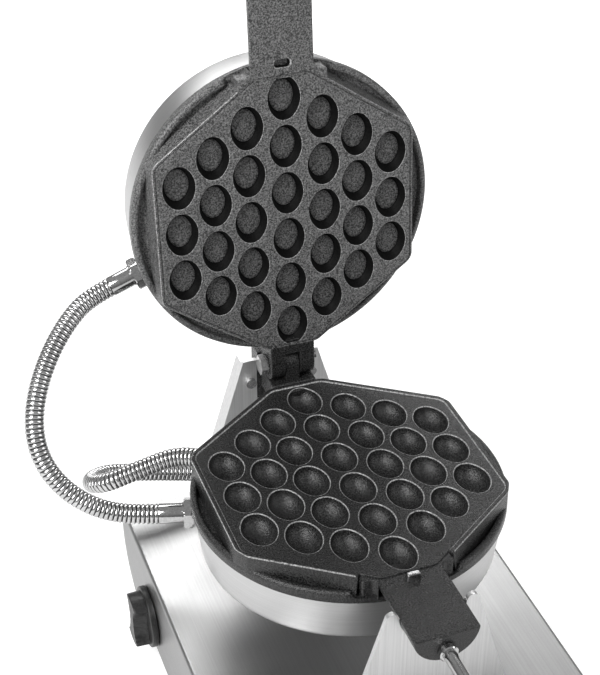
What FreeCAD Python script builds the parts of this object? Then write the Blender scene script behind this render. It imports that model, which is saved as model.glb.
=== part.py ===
# Egg waffle pan: a round two-plate iron that is hinged at the back, opens upwards and, when it
# is shut, turns over on a front cradle and a rear bearing above a low stainless steel base.
# Lengths are in millimetres and angles in degrees. +X is the operator's right, +Y points away
# from the operator, +Z is up. The origin is the centre of the base's underside.
import FreeCAD, Part
import math
import os

Vec = FreeCAD.Vector
X_AXIS = Vec(1, 0, 0)
Y_AXIS = Vec(0, 1, 0)
Z_AXIS = Vec(0, 0, 1)
ORIGIN = Vec(0, 0, 0)

# Clearances and allowances
overrun = 2.0                # how far a cutter runs past what it cuts
moving_gap = 0.3             # between pieces that move past each other
running_gap = 0.05           # radial, between a pin and its hole
seat_gap = 0.05              # radial, between a fixed piece and the hole that it sits in

# Base box, folded from stainless steel sheet
base_width = 227.0
base_front_margin = 47.0
base_rear_margin = 13.5
base_height = 62.0
base_sheet = 1.5
base_lower_corner_radius = 45.0
base_top_bend_radius = 2.5
base_flange_width = 24.0
bottom_plate_sheet = 1.5
vent_length = 34.0
vent_width = 4.0
vent_pitch = 12.0
vent_count = 6
vent_row_offset = 60.0
foot_height = 12.0
foot_radius = 12.0
foot_tip_radius = 10.0
foot_edge_inset = 19.0
foot_end_inset = 60.0
foot_screw_radius = 2.0
foot_screw_head_radius = 3.8
foot_screw_head_height = 3.0
foot_recess_radius = 5.5
foot_recess_depth = 7.0
foot_nut_height = 3.2

# Free holes in the base's bottom flange, for screws down into a counter
counter_hole_radius = 2.6
counter_hole_edge_inset = 7.5
counter_hole_pitch = 120.0

# Turning axis of the pan, above the underside of the base
axis_height = 168.0

# Cast plates, measured from the pan's centre and from the cooking faces
rim_margin = 4.0
rim_width = 4.5
rim_top_depth = 9.0
rim_bottom_depth = 16.5
rim_edge_radius = 2.5
groove_floor_depth = 13.5
spigot_play = 1.8
spigot_depth = 19.0
face_side_margin = 5.1
face_end_margin = 1.7
face_end_half_width = 17.0
face_corner_radius = 9.0
boss_draft_width = 2.5
lip_width = 2.6
lip_height = 1.0
lip_side_gap = 0.6
face_step_width = 2.3
plate_gap = 0.3

# Egg cavities: seven columns along the handle's direction, staggered by half a pitch
row_pitch = 31.0
inner_column_pitch = 24.1
outer_column_pitch = 22.2
column_counts = {0: 6, 1: 5, 2: 4, 3: 3}
cavity_half_length = 14.3
cavity_half_width = 10.6
cavity_depth = 10.5
bowl_ring_angles = [0, 28, 52, 72]
oval_end_share = 0.77
cup_half_length = 13.9
cup_half_width = 10.4
cup_depth = 6.5
cup_floor_share = 0.76

# Handle brackets: each is half of a round journal
journal_radius = 20.0
journal_reach = 48.5
shoulder_half_width = 28.5
shoulder_overlap = 5.5
shoulder_fillet = 4.0
pocket_half_width = 28.7
pocket_depth = 12.5
lug_offset = 1.5
lug_length = 9.0
lug_width = 4.0
lug_height = 3.4
slot_gap = 0.6
slot_depth = 4.8

# Handles
rod_radius = 4.0
rod_depth = 12.6
rod_insertion = 15.0
rod_bare_length = 56.0
rod_in_grip = 87.0
ferrule_radius = 5.6
ferrule_length = 4.0
grip_length = 112.0
grip_radius = 15.0
grip_waist_radius = 12.5
grip_axis_depth = 6.0
grip_flat_depth = 1.8
grip_waist_share = 0.25
grip_belly_share = 0.5
grip_end_radius = 9.0
grip_cap_length = 6.0

# Hinge at the back of the plates
hinge_offset = 12.0
hinge_up = 11.9
open_angle = 95.0
pin_radius = 3.0
pin_head_radius = 6.0
pin_head_length = 5.0
pin_tail_length = 3.5
clip_radius = 5.5
clip_thickness = 1.0
ear_half_width = 15.0
ear_radius = 10.5
ear_slot_half_width = 5.0
ear_overlap = 5.5
heel_length = 5.0
tongue_radius = 9.5
arm_bottom_depth = 14.0
arm_overhang = 12.0
collar_radius = 12.0
collar_length = 2.8
rear_journal_radius = 9.0
rear_journal_length = 15.5

# Spun steel shells and what they hold
rim_overhang = 1.5
shell_taper = 6.0
shell_depth = 50.0
shell_sheet = 1.2
shell_corner_radius = 5.0
post_radius = 5.0
post_inset = 22.0
post_count = 3
shell_screw_radius = 2.0
shell_screw_head_radius = 4.0
shell_screw_head_height = 2.6
shell_screw_insertion = 12.0
heater_inset = 27.0
heater_tube_radius = 4.0
heater_tail_radius = 3.0
heater_tail_length = 13.0
heater_tail_spread = 12.0
clamp_sheet = 1.5
clamp_overhang = 1.0
insulation_side_gap = 7.0
insulation_bottom_gap = 3.3
hole_margin = 0.8

# Conduit glands
nut_across_flats = 17.5
nut_length = 6.0
stem_radius = 6.0
stem_length = 7.0
sleeve_radius = 6.3
sleeve_length = 15.5
short_sleeve_length = 4.0
link_gland_depth = 28.0
link_gland_angle = 163.0
lid_gland_depth = 25.6
lid_gland_angle = 160.5
feed_gland_depth = 33.0
feed_gland_angle = 130.0

# Front cradle and rear bracket, folded from thicker steel
support_sheet = 3.0
support_half_width = 28.0
support_slope_share = 0.3
support_foot_length = 14.0
support_screw_share = 0.62
support_screw_place_share = 0.55
cradle_gap = 27.5
lobe_radius = 3.6
bracket_gap = 0.2
bracket_top = 5.5
bracket_wing_depth = 13.0
bracket_notch_half_width = 17.0
bracket_notch_depth = 27.0
support_screw_radius = 2.5
support_screw_head_radius = 4.5
support_screw_head_height = 2.6
wing_gland_drop = 87.0
wing_gland_across_flats = 15.0
wing_gland_sleeve_length = 4.0
wing_stem_radius = 5.0

# Bearing block of the rear journal
block_half_width = 16.6
block_top = 11.0
block_bottom_depth = 26.0
block_length = 12.0
block_flange_half_width = 24.6
block_flange_thickness = 4.0
block_bolt_radius = 2.0
block_bolt_head_radius = 3.6
block_bolt_head_height = 2.4
flange_bolt_x = 21.5
flange_bolt_drop = 12.0

# Controls
knob_y = 85.0
knob_height = 23.0
knob_radius = 21.0
knob_skirt_length = 4.5
knob_body_radius = 18.5
knob_body_length = 9.0
knob_bar_half_width = 6.0
knob_cheek_radius = 24.0
knob_cheek_share = 0.95
knob_panel_gap = 0.6
shaft_radius = 3.0
shaft_insertion = 6.0
thermostat_depth = 34.0
thermostat_half_width = 12.0
thermostat_bush_radius = 5.0
thermostat_bush_length = 6.0
thermostat_nut_radius = 8.0
switch_y = -45.0
switch_height = 34.0
switch_width = 22.0
switch_length = 31.0
switch_bezel = 2.0
switch_bezel_margin = 2.6
switch_body_depth = 24.0
rocker_pivot_depth = 4.0
rocker_rise = 4.0
rocker_dish = 1.2
rocker_half_height = 12.4
rocker_keel_half_height = 4.0
rocker_well_depth = 14.0
rocker_travel = 20.0
rocker_gap = 0.4
lamp_y = -5.0
lamp_radius = 6.0
lamp_bezel_radius = 8.0
lamp_bezel_length = 2.0
lamp_dome_length = 3.6
lamp_body_length = 22.0
lamp_dome_share = 0.86
mains_gland_x = 70.0
mains_gland_height = 50.0
mains_gland_across_flats = 18.0
mains_gland_nut_length = 5.0
mains_gland_cap_length = 14.0
mains_gland_cap_radius = 8.0
mains_gland_cap_share = 0.7
mains_gland_bore_radius = 4.0
mains_gland_stem_radius = 7.0
mains_gland_stem_length = 9.0
terminal_length = 62.0
terminal_width = 22.0
terminal_height = 18.0
terminal_well_radius = 3.2
terminal_well_depth = 9.0
terminal_well_count = 3
terminal_x = 40.0
terminal_y = 78.0

# Ribbed conduits
conduit_radius = 6.2
conduit_root_radius = 5.5
conduit_bore_radius = 4.4
conduit_rib_pitch = 6.0
conduit_arc_share = 0.45
rib_crest_shares = [0.2, 0.8]

# Free points of the conduits' centre lines; the points at both ends follow from the glands
link_points = [(-147.5, 61.5, 146.0), (-162.5, 69.5, 156.0), (-172.5, 79.0, 168.5),
               (-176.5, 89.5, 182.0), (-174.5, 101.0, 196.5), (-167.0, 113.0, 211.0),
               (-156.0, 124.5, 224.5), (-142.5, 135.0, 236.0)]
feed_points = [(-105.0, 153.5, 92.5), (-121.0, 155.0, 95.0), (-134.0, 145.5, 101.0),
               (-138.0, 129.0, 110.0), (-130.5, 115.5, 119.5), (-113.5, 112.0, 126.5)]
conduit_end_run = 17.0

# Plates: the face's outline follows the cavities, and the rim and the shell follow the face
outer_count = min(column_counts.values())
middle_count = max(column_counts.values())
column_reach = inner_column_pitch + (len(column_counts) - 2) * outer_column_pitch
face_half_width = column_reach + cavity_half_width + face_side_margin
face_side_half_length = outer_count * row_pitch / 2
face_half_length = (middle_count - 1) * row_pitch / 2 + cavity_half_length + face_end_margin
rim_radius = face_half_length + rim_margin
shell_top_radius = rim_radius - rim_overhang
shell_bottom_radius = shell_top_radius - shell_taper
spigot_radius = shell_top_radius - shell_sheet - spigot_play
heater_ring_radius = spigot_radius - heater_inset
post_ring_radius = heater_ring_radius - post_inset
insulation_radius = shell_bottom_radius - insulation_side_gap
insulation_end_depth = shell_depth - shell_sheet - insulation_bottom_gap
clamp_radius = insulation_radius + clamp_overhang

# Places along the pan's axis, in front of its centre and behind it
shoulder_root = face_half_length - shoulder_overlap
shoulder_end = face_half_length - lip_height
journal_end = rim_radius + journal_reach
lug_place = rim_radius + lug_offset
grip_start = journal_end + rod_bare_length
rod_length = rod_insertion + rod_bare_length + rod_in_grip
cradle_place = rim_radius + cradle_gap
hinge_back = rim_radius + hinge_offset
ear_root = face_half_length - ear_overlap
ear_top = hinge_up + ear_radius
arm_end = hinge_back + arm_overhang
rear_journal_end = arm_end + rear_journal_length
bracket_place = arm_end + collar_length + bracket_gap

# Base: as long as the supports and the margins in front of them and behind them
base_length = base_front_margin + cradle_place + bracket_place + base_rear_margin
base_half_width = base_width / 2
base_half_length = base_length / 2
pan_centre_y = base_front_margin + cradle_place - base_half_length
foot_pitch_y = base_length - 2 * foot_end_inset

# Places that follow from the sizes above
pan_place = Vec(0, pan_centre_y, axis_height)
axis_above_base = axis_height - base_height
arm_top = hinge_up - ear_radius - moving_gap
hinge_line = Vec(0, hinge_back, hinge_up)


def box(x0, x1, y0, y1, z0, z1):
    """A rectangular block between two corners."""
    return Part.makeBox(x1 - x0, y1 - y0, z1 - z0, Vec(x0, y0, z0))


def cylinder(radius, length, start, direction=Z_AXIS):
    return Part.makeCylinder(radius, length, start, direction)


def disc(radius, z0, z1):
    """A round plate on the Z axis between two heights."""
    return cylinder(radius, z1 - z0, Vec(0, 0, z0))


def closed_face(points):
    return Part.Face(Part.makePolygon(points + [points[0]]))


def prism(points, direction):
    return closed_face(points).extrude(direction)


def revolved(points, place=ORIGIN, axis=Z_AXIS):
    return closed_face(points).revolve(place, axis, 360)


def hexagon(across_flats, length, start, direction):
    """A hexagonal nut blank with level flats that starts at a point and runs along a direction."""
    corner_radius = across_flats / math.sqrt(3)
    side = direction.cross(Z_AXIS)
    side.normalize()
    up = side.cross(direction)
    corners = []
    for k in range(6):
        angle = math.radians(60 * k)
        corners.append(start + side * (corner_radius * math.cos(angle)) +
                       up * (corner_radius * math.sin(angle)))
    return prism(corners, direction * length)


def rounded_outline(corners, radius, z):
    """The closed outline through these corners, each rounded with the same radius."""
    edges = []
    ends = []
    count = len(corners)
    for k in range(count):
        here = Vec(corners[k][0], corners[k][1], z)
        before = Vec(corners[k - 1][0], corners[k - 1][1], z) - here
        after = Vec(corners[(k + 1) % count][0], corners[(k + 1) % count][1], z) - here
        before.normalize()
        after.normalize()
        half_angle = before.getAngle(after) / 2
        reach = radius / math.tan(half_angle)
        middle = before + after
        middle.normalize()
        top = here + middle * (radius / math.sin(half_angle) - radius)
        ends.append((here + before * reach, top, here + after * reach))
    for k in range(count):
        start, top, finish = ends[k]
        edges.append(Part.Arc(start, top, finish).toShape())
        edges.append(Part.LineSegment(finish, ends[(k + 1) % count][0]).toShape())
    return Part.Wire(edges)


def face_corners(offset):
    """The eight corners of the cooking face, moved outwards by an offset."""
    slope = Vec(face_half_width - face_end_half_width, face_half_length - face_side_half_length, 0)
    slope_angle = math.atan2(slope.y, slope.x)
    side_shift = offset * math.tan((math.pi / 2 - slope_angle) / 2)
    end_shift = offset * math.tan(slope_angle / 2)
    side_x = face_half_width + offset
    side_y = face_side_half_length + side_shift
    end_x = face_end_half_width + end_shift
    end_y = face_half_length + offset
    quarter = [(side_x, side_y), (end_x, end_y)]
    left = [(-x, y) for x, y in reversed(quarter)]
    below = [(-x, -y) for x, y in quarter]
    right = [(x, -y) for x, y in reversed(quarter)]
    return quarter + left + below + right


def face_prism(offset, z0, z1):
    outline = rounded_outline(face_corners(offset), face_corner_radius + offset, z0)
    return Part.Face(outline).extrude(Z_AXIS * (z1 - z0))


def cavity_places():
    """Centres of the egg cavities, a list of (x, y)."""
    places = []
    for column, count in column_counts.items():
        x = 0 if column == 0 else inner_column_pitch + (column - 1) * outer_column_pitch
        for side in ((1,) if column == 0 else (-1, 1)):
            for row in range(count):
                places.append((side * x, (row - (count - 1) / 2) * row_pitch))
    return places


def oval_wire(half_length, half_width, z):
    """An oval along Y made of four tangent arcs: two tight ends and two flatter sides."""
    end_radius = half_width * oval_end_share
    end_place = half_length - end_radius
    side_extra = half_width - end_radius
    side_centre = (end_place ** 2 - side_extra ** 2) / (2 * side_extra)
    lean = math.atan2(side_centre, end_place)
    x = end_radius * math.sin(lean)
    y = end_place + end_radius * math.cos(lean)
    arcs = [(Vec(-x, -y, z), Vec(-half_width, 0, z), Vec(-x, y, z)),
            (Vec(-x, y, z), Vec(0, half_length, z), Vec(x, y, z)),
            (Vec(x, y, z), Vec(half_width, 0, z), Vec(x, -y, z)),
            (Vec(x, -y, z), Vec(0, -half_length, z), Vec(-x, -y, z))]
    return Part.Wire([Part.Arc(*three).toShape() for three in arcs])


def egg_bowl():
    """Half an egg as rings that close in towards its bottom; its mouth is at z = 0."""
    rings = []
    for angle in bowl_ring_angles:
        inwards = math.cos(math.radians(angle))
        rings.append(oval_wire(cavity_half_length * inwards, cavity_half_width * inwards,
                               -cavity_depth * math.sin(math.radians(angle))))
    return Part.makeLoft(rings, True, True)


def flat_cup():
    """A cup with tapered sides and a flat floor; its mouth is at z = 0."""
    mouth = oval_wire(cup_half_length, cup_half_width, 0)
    floor = oval_wire(cup_half_length * cup_floor_share, cup_half_width * cup_floor_share, -cup_depth)
    return Part.makeLoft([mouth, floor], True, True)


def copies(shape, places):
    out = []
    for x, y in places:
        one = shape.copy()
        one.translate(Vec(x, y, 0))
        out.append(one)
    return out


def polar_places(radius, count, first_angle=0):
    angles = [math.radians(first_angle + 360 * k / count) for k in range(count)]
    return [(radius * math.cos(a), radius * math.sin(a)) for a in angles]


def casting(margin_height, boss_offset):
    """Round flange, raised eight-sided boss, handle bracket and posts, cooking side up.

    margin_height is the height of the boss's edge over its cooking face, and boss_offset is
    how far that edge lies outside the face's outline."""
    flange = disc(rim_radius, -rim_bottom_depth, -rim_top_depth)
    rim_edges = [e for e in flange.Edges if abs(e.BoundBox.ZMin + rim_top_depth) < running_gap
                 and abs(e.BoundBox.ZMax + rim_top_depth) < running_gap]
    flange = flange.makeFillet(rim_edge_radius, rim_edges)
    well = disc(rim_radius - rim_width, -groove_floor_depth, -rim_top_depth + overrun)
    foot_offset = boss_offset + boss_draft_width
    foot = rounded_outline(face_corners(foot_offset), face_corner_radius + foot_offset,
                           -groove_floor_depth - running_gap)
    head = rounded_outline(face_corners(boss_offset), face_corner_radius + boss_offset, margin_height)
    boss = Part.makeLoft([foot, head], True, True).common(
        disc(rim_radius, -rim_bottom_depth, margin_height + overrun))
    body = flange.cut(well).fuse(boss).cut(handle_pocket(margin_height + overrun))
    return body.fuse(disc(spigot_radius, -spigot_depth, -rim_bottom_depth + running_gap))


def handle_pocket(top):
    """What is cut from the boss and the rim around the handle's root, out to the ribs' square ends."""
    slope = Vec(face_half_width - face_end_half_width, face_half_length - face_side_half_length, 0)
    out = Vec(slope.y, -slope.x, 0)
    out.normalize()
    along = (face_half_width - pocket_half_width) / slope.x
    corner = Vec(pocket_half_width, -face_side_half_length - along * slope.y, -pocket_depth)
    far = corner + out * journal_radius
    points = [corner, far, Vec(-far.x, far.y, far.z), Vec(-corner.x, corner.y, corner.z)]
    cutter = prism(points, Z_AXIS * (top + pocket_depth))
    return cutter.cut(face_prism(0, -rim_bottom_depth, top + overrun))


def shoulder():
    """The wide root of the handle bracket, with a round inner corner on each side."""
    root = box(-shoulder_half_width, shoulder_half_width, -shoulder_end, -shoulder_root,
               -groove_floor_depth, -lip_height)
    corner_x = journal_radius + shoulder_fillet
    corner_y = -shoulder_end - shoulder_fillet
    web = box(-corner_x, corner_x, corner_y, -shoulder_end, -groove_floor_depth, -lip_height)
    rounds = [cylinder(shoulder_fillet, groove_floor_depth, Vec(side * corner_x, corner_y,
                                                                -groove_floor_depth))
              for side in (-1, 1)]
    return root.fuse(web.cut(rounds))


def bracket():
    """Half of the round journal with its shoulder; its flat side lies just below the face."""
    root = shell_top_radius + moving_gap
    half = cylinder(journal_radius, journal_end - root, Vec(0, -root, 0), -Y_AXIS)
    flat = box(-rim_radius, rim_radius, -journal_end - overrun, 0, -lip_height,
               journal_radius + overrun)
    rod_hole = cylinder(rod_radius + seat_gap, rod_insertion + overrun,
                        Vec(0, -journal_end - overrun, -rod_depth), Y_AXIS)
    return half.cut(flat).fuse(shoulder()).cut(rod_hole)


def posts():
    """Posts on the back of a casting that the shell's screws go into."""
    length = shell_depth - shell_sheet - spigot_depth
    post = cylinder(post_radius, length + running_gap, Vec(0, 0, -spigot_depth - length))
    hole = cylinder(shell_screw_radius + seat_gap, shell_screw_insertion + overrun,
                    Vec(0, 0, -spigot_depth - length))
    return copies(post.cut(hole), polar_places(post_ring_radius, post_count, 90))


def lower_plate():
    body = casting(lip_height, lip_side_gap + lip_width)
    body = body.cut(face_prism(lip_side_gap, 0, lip_height + overrun))
    body = body.fuse(bracket())
    lug = box(-lug_length / 2, lug_length / 2, -lug_place - lug_width / 2, -lug_place + lug_width / 2,
              -lip_height - running_gap, lug_height)
    arm = box(-ear_half_width, ear_half_width, ear_root, arm_end, -arm_bottom_depth, arm_top)
    arm = arm.cut(box(-ear_half_width - overrun, ear_half_width + overrun, ear_root - overrun,
                      face_half_length, 0, arm_top + overrun))
    collar = cylinder(collar_radius, collar_length, Vec(0, arm_end - running_gap, 0), Y_AXIS)
    journal = cylinder(rear_journal_radius, rear_journal_end - arm_end, Vec(0, arm_end, 0), Y_AXIS)
    slab = box(-ear_slot_half_width + moving_gap, ear_slot_half_width - moving_gap,
               hinge_back - tongue_radius, hinge_back + tongue_radius, arm_top - running_gap, hinge_up)
    eye = cylinder(tongue_radius, 2 * (ear_slot_half_width - moving_gap),
                   Vec(-ear_slot_half_width + moving_gap, hinge_back, hinge_up), X_AXIS)
    pin_hole = cylinder(pin_radius + running_gap, 2 * ear_half_width,
                        Vec(-ear_half_width, hinge_back, hinge_up), X_AXIS)
    body = body.fuse([lug, arm, collar, journal, slab, eye] + posts()).cut(pin_hole)
    return body.cut(copies(egg_bowl(), cavity_places())).removeSplitter()


def ears():
    """Hinge ears of the upper plate, shut, with the heel that stops the lid when it is open."""
    turn = math.radians(open_angle)
    normal = Vec(0, math.sin(turn), -math.cos(turn))
    along = Vec(0, math.cos(turn), math.sin(turn))
    heel_foot = hinge_line + normal * ear_radius
    heel_head = heel_foot + along * heel_length
    left = Vec(-ear_half_width, 0, 0)
    low = hinge_up - ear_radius
    outline = [left + Vec(0, ear_root, low), left + Vec(0, hinge_back, low), left + hinge_line,
               left + heel_foot, left + heel_head, left + Vec(0, hinge_back, ear_top),
               left + Vec(0, hinge_back - ear_radius, ear_top),
               left + Vec(0, shell_top_radius + 2 * moving_gap, rim_bottom_depth),
               left + Vec(0, ear_root, rim_bottom_depth)]
    web = prism(outline, X_AXIS * (2 * ear_half_width))
    barrel = cylinder(ear_radius, 2 * ear_half_width, left + hinge_line, X_AXIS)
    slot = box(-ear_slot_half_width, ear_slot_half_width,
               hinge_back - tongue_radius - 2 * moving_gap, hinge_back + journal_radius,
               -ear_top, ear_top + overrun)
    pin_hole = cylinder(pin_radius + running_gap, 2 * ear_half_width + 2 * overrun,
                        left + hinge_line - X_AXIS * overrun, X_AXIS)
    return web.fuse(barrel).cut(slot).cut(pin_hole)


def upper_plate():
    body = casting(-lip_height, 0)
    body = body.fuse(face_prism(-face_step_width, -lip_height - running_gap, 0))
    slot = box(-lug_length / 2 - slot_gap, lug_length / 2 + slot_gap,
               -lug_place - lug_width / 2 - slot_gap, -lug_place + lug_width / 2 + slot_gap,
               -slot_depth, overrun)
    body = body.fuse([bracket()] + posts()).cut(slot)
    body = body.cut(copies(flat_cup(), cavity_places()))
    return turn_over(body).fuse(ears()).removeSplitter()


def turn_over(shape):
    """Mirrors a piece of the lower pan into the place that it has on the shut upper pan."""
    upper = shape.mirror(ORIGIN, Z_AXIS)
    upper.translate(Vec(0, 0, plate_gap))
    return upper


def spun_shell(gland_cutters):
    """A tapered cup of thin steel, open at the casting."""
    outer = [(shell_top_radius, rim_bottom_depth),
             (shell_bottom_radius + shell_corner_radius / 2, shell_depth - shell_corner_radius),
             (shell_bottom_radius - shell_corner_radius / 2, shell_depth),
             (0, shell_depth), (0, shell_depth - shell_sheet),
             (shell_bottom_radius - shell_corner_radius / 2 - shell_sheet / 2, shell_depth - shell_sheet),
             (shell_bottom_radius + shell_corner_radius / 2 - shell_sheet,
              shell_depth - shell_corner_radius - shell_sheet / 2),
             (shell_top_radius - shell_sheet, rim_bottom_depth)]
    cup = revolved([Vec(r, 0, -z) for r, z in outer])
    holes = copies(cylinder(shell_screw_radius + seat_gap, 2 * overrun + shell_sheet,
                            Vec(0, 0, -shell_depth - overrun)),
                   polar_places(post_ring_radius, post_count, 90))
    return cup.cut(holes + gland_cutters)


def screw(head_radius, head_height, shank_radius, length, start, direction):
    """A screw whose head rests at the start; its shank points along the direction."""
    points = [Vec(0, 0, -head_height), Vec(head_radius, 0, -head_height), Vec(head_radius, 0, 0),
              Vec(shank_radius, 0, 0), Vec(shank_radius, 0, length), Vec(0, 0, length)]
    one = revolved(points)
    one.Placement = FreeCAD.Placement(start, FreeCAD.Rotation(Z_AXIS, direction))
    return one


def shell_screws():
    one = screw(shell_screw_head_radius, shell_screw_head_height, shell_screw_radius,
                shell_sheet + shell_screw_insertion, Vec(0, 0, -shell_depth), Z_AXIS)
    return Part.makeCompound(copies(one, polar_places(post_ring_radius, post_count, 90)))


def heater():
    """A ring heater against the back of the casting, with two tails that turn downwards."""
    depth = spigot_depth + heater_tube_radius
    gap_angle = 2 * math.degrees(math.asin(heater_tail_spread / 2 / heater_ring_radius))
    ring = Part.makeTorus(heater_ring_radius, heater_tube_radius, ORIGIN, Z_AXIS, 0, 360,
                          360 - gap_angle)
    ring.rotate(ORIGIN, Z_AXIS, gap_angle / 2 - 180)
    ring.translate(Vec(0, 0, -depth))
    return ring.fuse([cylinder(heater_tail_radius, heater_tail_length, place - Z_AXIS * depth, -Z_AXIS)
                      for place in tail_places()])


def tail_places():
    y = heater_tail_spread / 2
    x = -math.sqrt(heater_ring_radius ** 2 - y ** 2)
    return [Vec(x, -y, 0), Vec(x, y, 0)]


def tail_holes(z0, z1):
    return [cylinder(heater_tail_radius + hole_margin, z1 - z0, place + Z_AXIS * z0)
            for place in tail_places()]


def post_holes(z0, z1):
    hole = cylinder(post_radius + hole_margin, z1 - z0, Vec(0, 0, z0))
    return copies(hole, polar_places(post_ring_radius, post_count, 90))


def clamp_plate():
    """A steel disc that holds the heater against the casting."""
    top = -spigot_depth - 2 * heater_tube_radius
    plate = disc(clamp_radius, top - clamp_sheet, top)
    return plate.cut(tail_holes(top - clamp_sheet - overrun, top + overrun) +
                     post_holes(top - clamp_sheet - overrun, top + overrun))


def insulation():
    top = -spigot_depth - 2 * heater_tube_radius - clamp_sheet
    pad = disc(insulation_radius, -insulation_end_depth, top)
    return pad.cut(tail_holes(-insulation_end_depth - overrun, top + overrun) +
                   post_holes(-insulation_end_depth - overrun, top + overrun))


def shell_radius(depth):
    """Outer radius of a shell at a depth below the cooking face."""
    low_radius = shell_bottom_radius + shell_corner_radius / 2
    share = (depth - rim_bottom_depth) / (shell_depth - shell_corner_radius - rim_bottom_depth)
    return shell_top_radius + (low_radius - shell_top_radius) * share


def gland_line(depth, angle):
    """Where a gland's nut meets the shell, and the direction outwards."""
    outwards = Vec(math.cos(math.radians(angle)), math.sin(math.radians(angle)), 0)
    seat = shell_radius(depth - nut_across_flats / 2) + seat_gap
    return outwards * seat - Z_AXIS * depth, outwards


def gland(depth, angle, sleeve):
    """A conduit gland on the side of a shell: stem, nut and sleeve, pointing outwards."""
    start, outwards = gland_line(depth, angle)
    stem = cylinder(stem_radius, stem_length, start - outwards * stem_length, outwards)
    nut = hexagon(nut_across_flats, nut_length, start, outwards)
    tube = cylinder(sleeve_radius, sleeve, start + outwards * nut_length, outwards)
    bore = cylinder(conduit_bore_radius, stem_length + nut_length + sleeve + 2 * overrun,
                    start - outwards * (stem_length + overrun), outwards)
    return stem.fuse([nut, tube]).cut(bore)


def gland_hole(depth, angle):
    start, outwards = gland_line(depth, angle)
    return cylinder(stem_radius + seat_gap, 2 * stem_length, start - outwards * stem_length, outwards)


def handle_rod():
    return cylinder(rod_radius, rod_length, Vec(0, -journal_end + rod_insertion, -rod_depth), -Y_AXIS)


def handle_ferrule():
    ring = cylinder(ferrule_radius, ferrule_length, Vec(0, -journal_end, -rod_depth), -Y_AXIS)
    return ring.cut(cylinder(rod_radius + seat_gap, ferrule_length + 2 * overrun,
                             Vec(0, -journal_end + overrun, -rod_depth), -Y_AXIS))


def handle_grip():
    """A waisted round grip with a flat side towards the other plate's grip."""
    end = grip_start + grip_length
    profile = [(0, grip_start), (grip_end_radius, grip_start),
               (grip_waist_radius, grip_start + grip_cap_length),
               (grip_waist_radius, grip_start + grip_length * grip_waist_share),
               (grip_radius, grip_start + grip_length * grip_belly_share),
               (grip_radius, end - 2 * grip_cap_length),
               (grip_waist_radius, end - grip_cap_length / 2), (grip_end_radius, end), (0, end)]
    body = revolved([Vec(r, -y, -grip_axis_depth) for r, y in profile],
                    Vec(0, 0, -grip_axis_depth), Y_AXIS)
    flat = box(-grip_radius - overrun, grip_radius + overrun, -end - overrun, -grip_start + overrun,
               -grip_flat_depth, grip_radius + overrun)
    bore = cylinder(rod_radius + seat_gap, rod_length - (grip_start - journal_end) - rod_insertion,
                    Vec(0, -grip_start, -rod_depth), -Y_AXIS)
    return body.cut([flat, bore])


def hinge_pin():
    start = -ear_half_width - moving_gap
    shank = cylinder(pin_radius, 2 * ear_half_width + 2 * moving_gap + pin_tail_length,
                     Vec(start, hinge_back, hinge_up), X_AXIS)
    head = hexagon(2 * pin_head_radius, pin_head_length, Vec(start, hinge_back, hinge_up), -X_AXIS)
    return shank.fuse(head)


def hinge_clip():
    start = Vec(ear_half_width + moving_gap, hinge_back, hinge_up)
    ring = cylinder(clip_radius, clip_thickness, start, X_AXIS)
    hole = cylinder(pin_radius + seat_gap, clip_thickness + 2 * overrun, start - X_AXIS * overrun, X_AXIS)
    mouth = box(start.x - overrun, start.x + clip_thickness + overrun, hinge_back - pin_radius / 2,
                hinge_back + pin_radius / 2, hinge_up - clip_radius - overrun, hinge_up)
    return ring.cut([hole, mouth])


def in_pan(shape):
    """Moves a piece from the pan's centre to its place above the base."""
    placed = shape.copy()
    placed.translate(pan_place)
    return placed


def opened(shape):
    """Swings a piece of the shut lid up to its open place."""
    lifted = shape.copy()
    lifted.rotate(hinge_line, X_AXIS, -open_angle)
    return in_pan(lifted)


def base_profile(inset):
    """Side view of the base: square at the top, with large rounded lower corners."""
    front = -base_half_length + inset
    rear = base_half_length - inset
    low = inset
    high = base_height - inset
    radius = base_lower_corner_radius - inset
    diagonal = radius * (1 - math.sqrt(1 / 2))
    x = -base_half_width + inset
    edges = [Part.LineSegment(Vec(x, front, high), Vec(x, rear, high)),
             Part.LineSegment(Vec(x, rear, high), Vec(x, rear, low + radius)),
             Part.Arc(Vec(x, rear, low + radius), Vec(x, rear - diagonal, low + diagonal),
                      Vec(x, rear - radius, low)),
             Part.LineSegment(Vec(x, rear - radius, low), Vec(x, front + radius, low)),
             Part.Arc(Vec(x, front + radius, low), Vec(x, front + diagonal, low + diagonal),
                      Vec(x, front, low + radius)),
             Part.LineSegment(Vec(x, front, low + radius), Vec(x, front, high))]
    return Part.Face(Part.Wire([e.toShape() for e in edges]))


def support_screw_x():
    return (support_half_width + support_slope_share * axis_above_base) * support_screw_share


def support_screw_places():
    """Screws of the cradle's and the bracket's feet, in the base's top."""
    x = support_screw_x()
    inset = support_foot_length * support_screw_place_share
    front_y = pan_centre_y - cradle_place + support_sheet / 2 + inset
    rear_y = pan_centre_y + bracket_place - inset
    return [(-x, front_y), (x, front_y), (-x, rear_y), (x, rear_y)]


def foot_places():
    x = foot_x()
    y = foot_pitch_y / 2
    return [(-x, -y), (x, -y), (-x, y), (x, y)]


def foot_x():
    return base_half_width - foot_edge_inset


def counter_hole_places():
    x = base_half_width - counter_hole_edge_inset
    y = counter_hole_pitch / 2
    return [(-x, -y), (x, -y), (-x, y), (x, y)]


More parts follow.
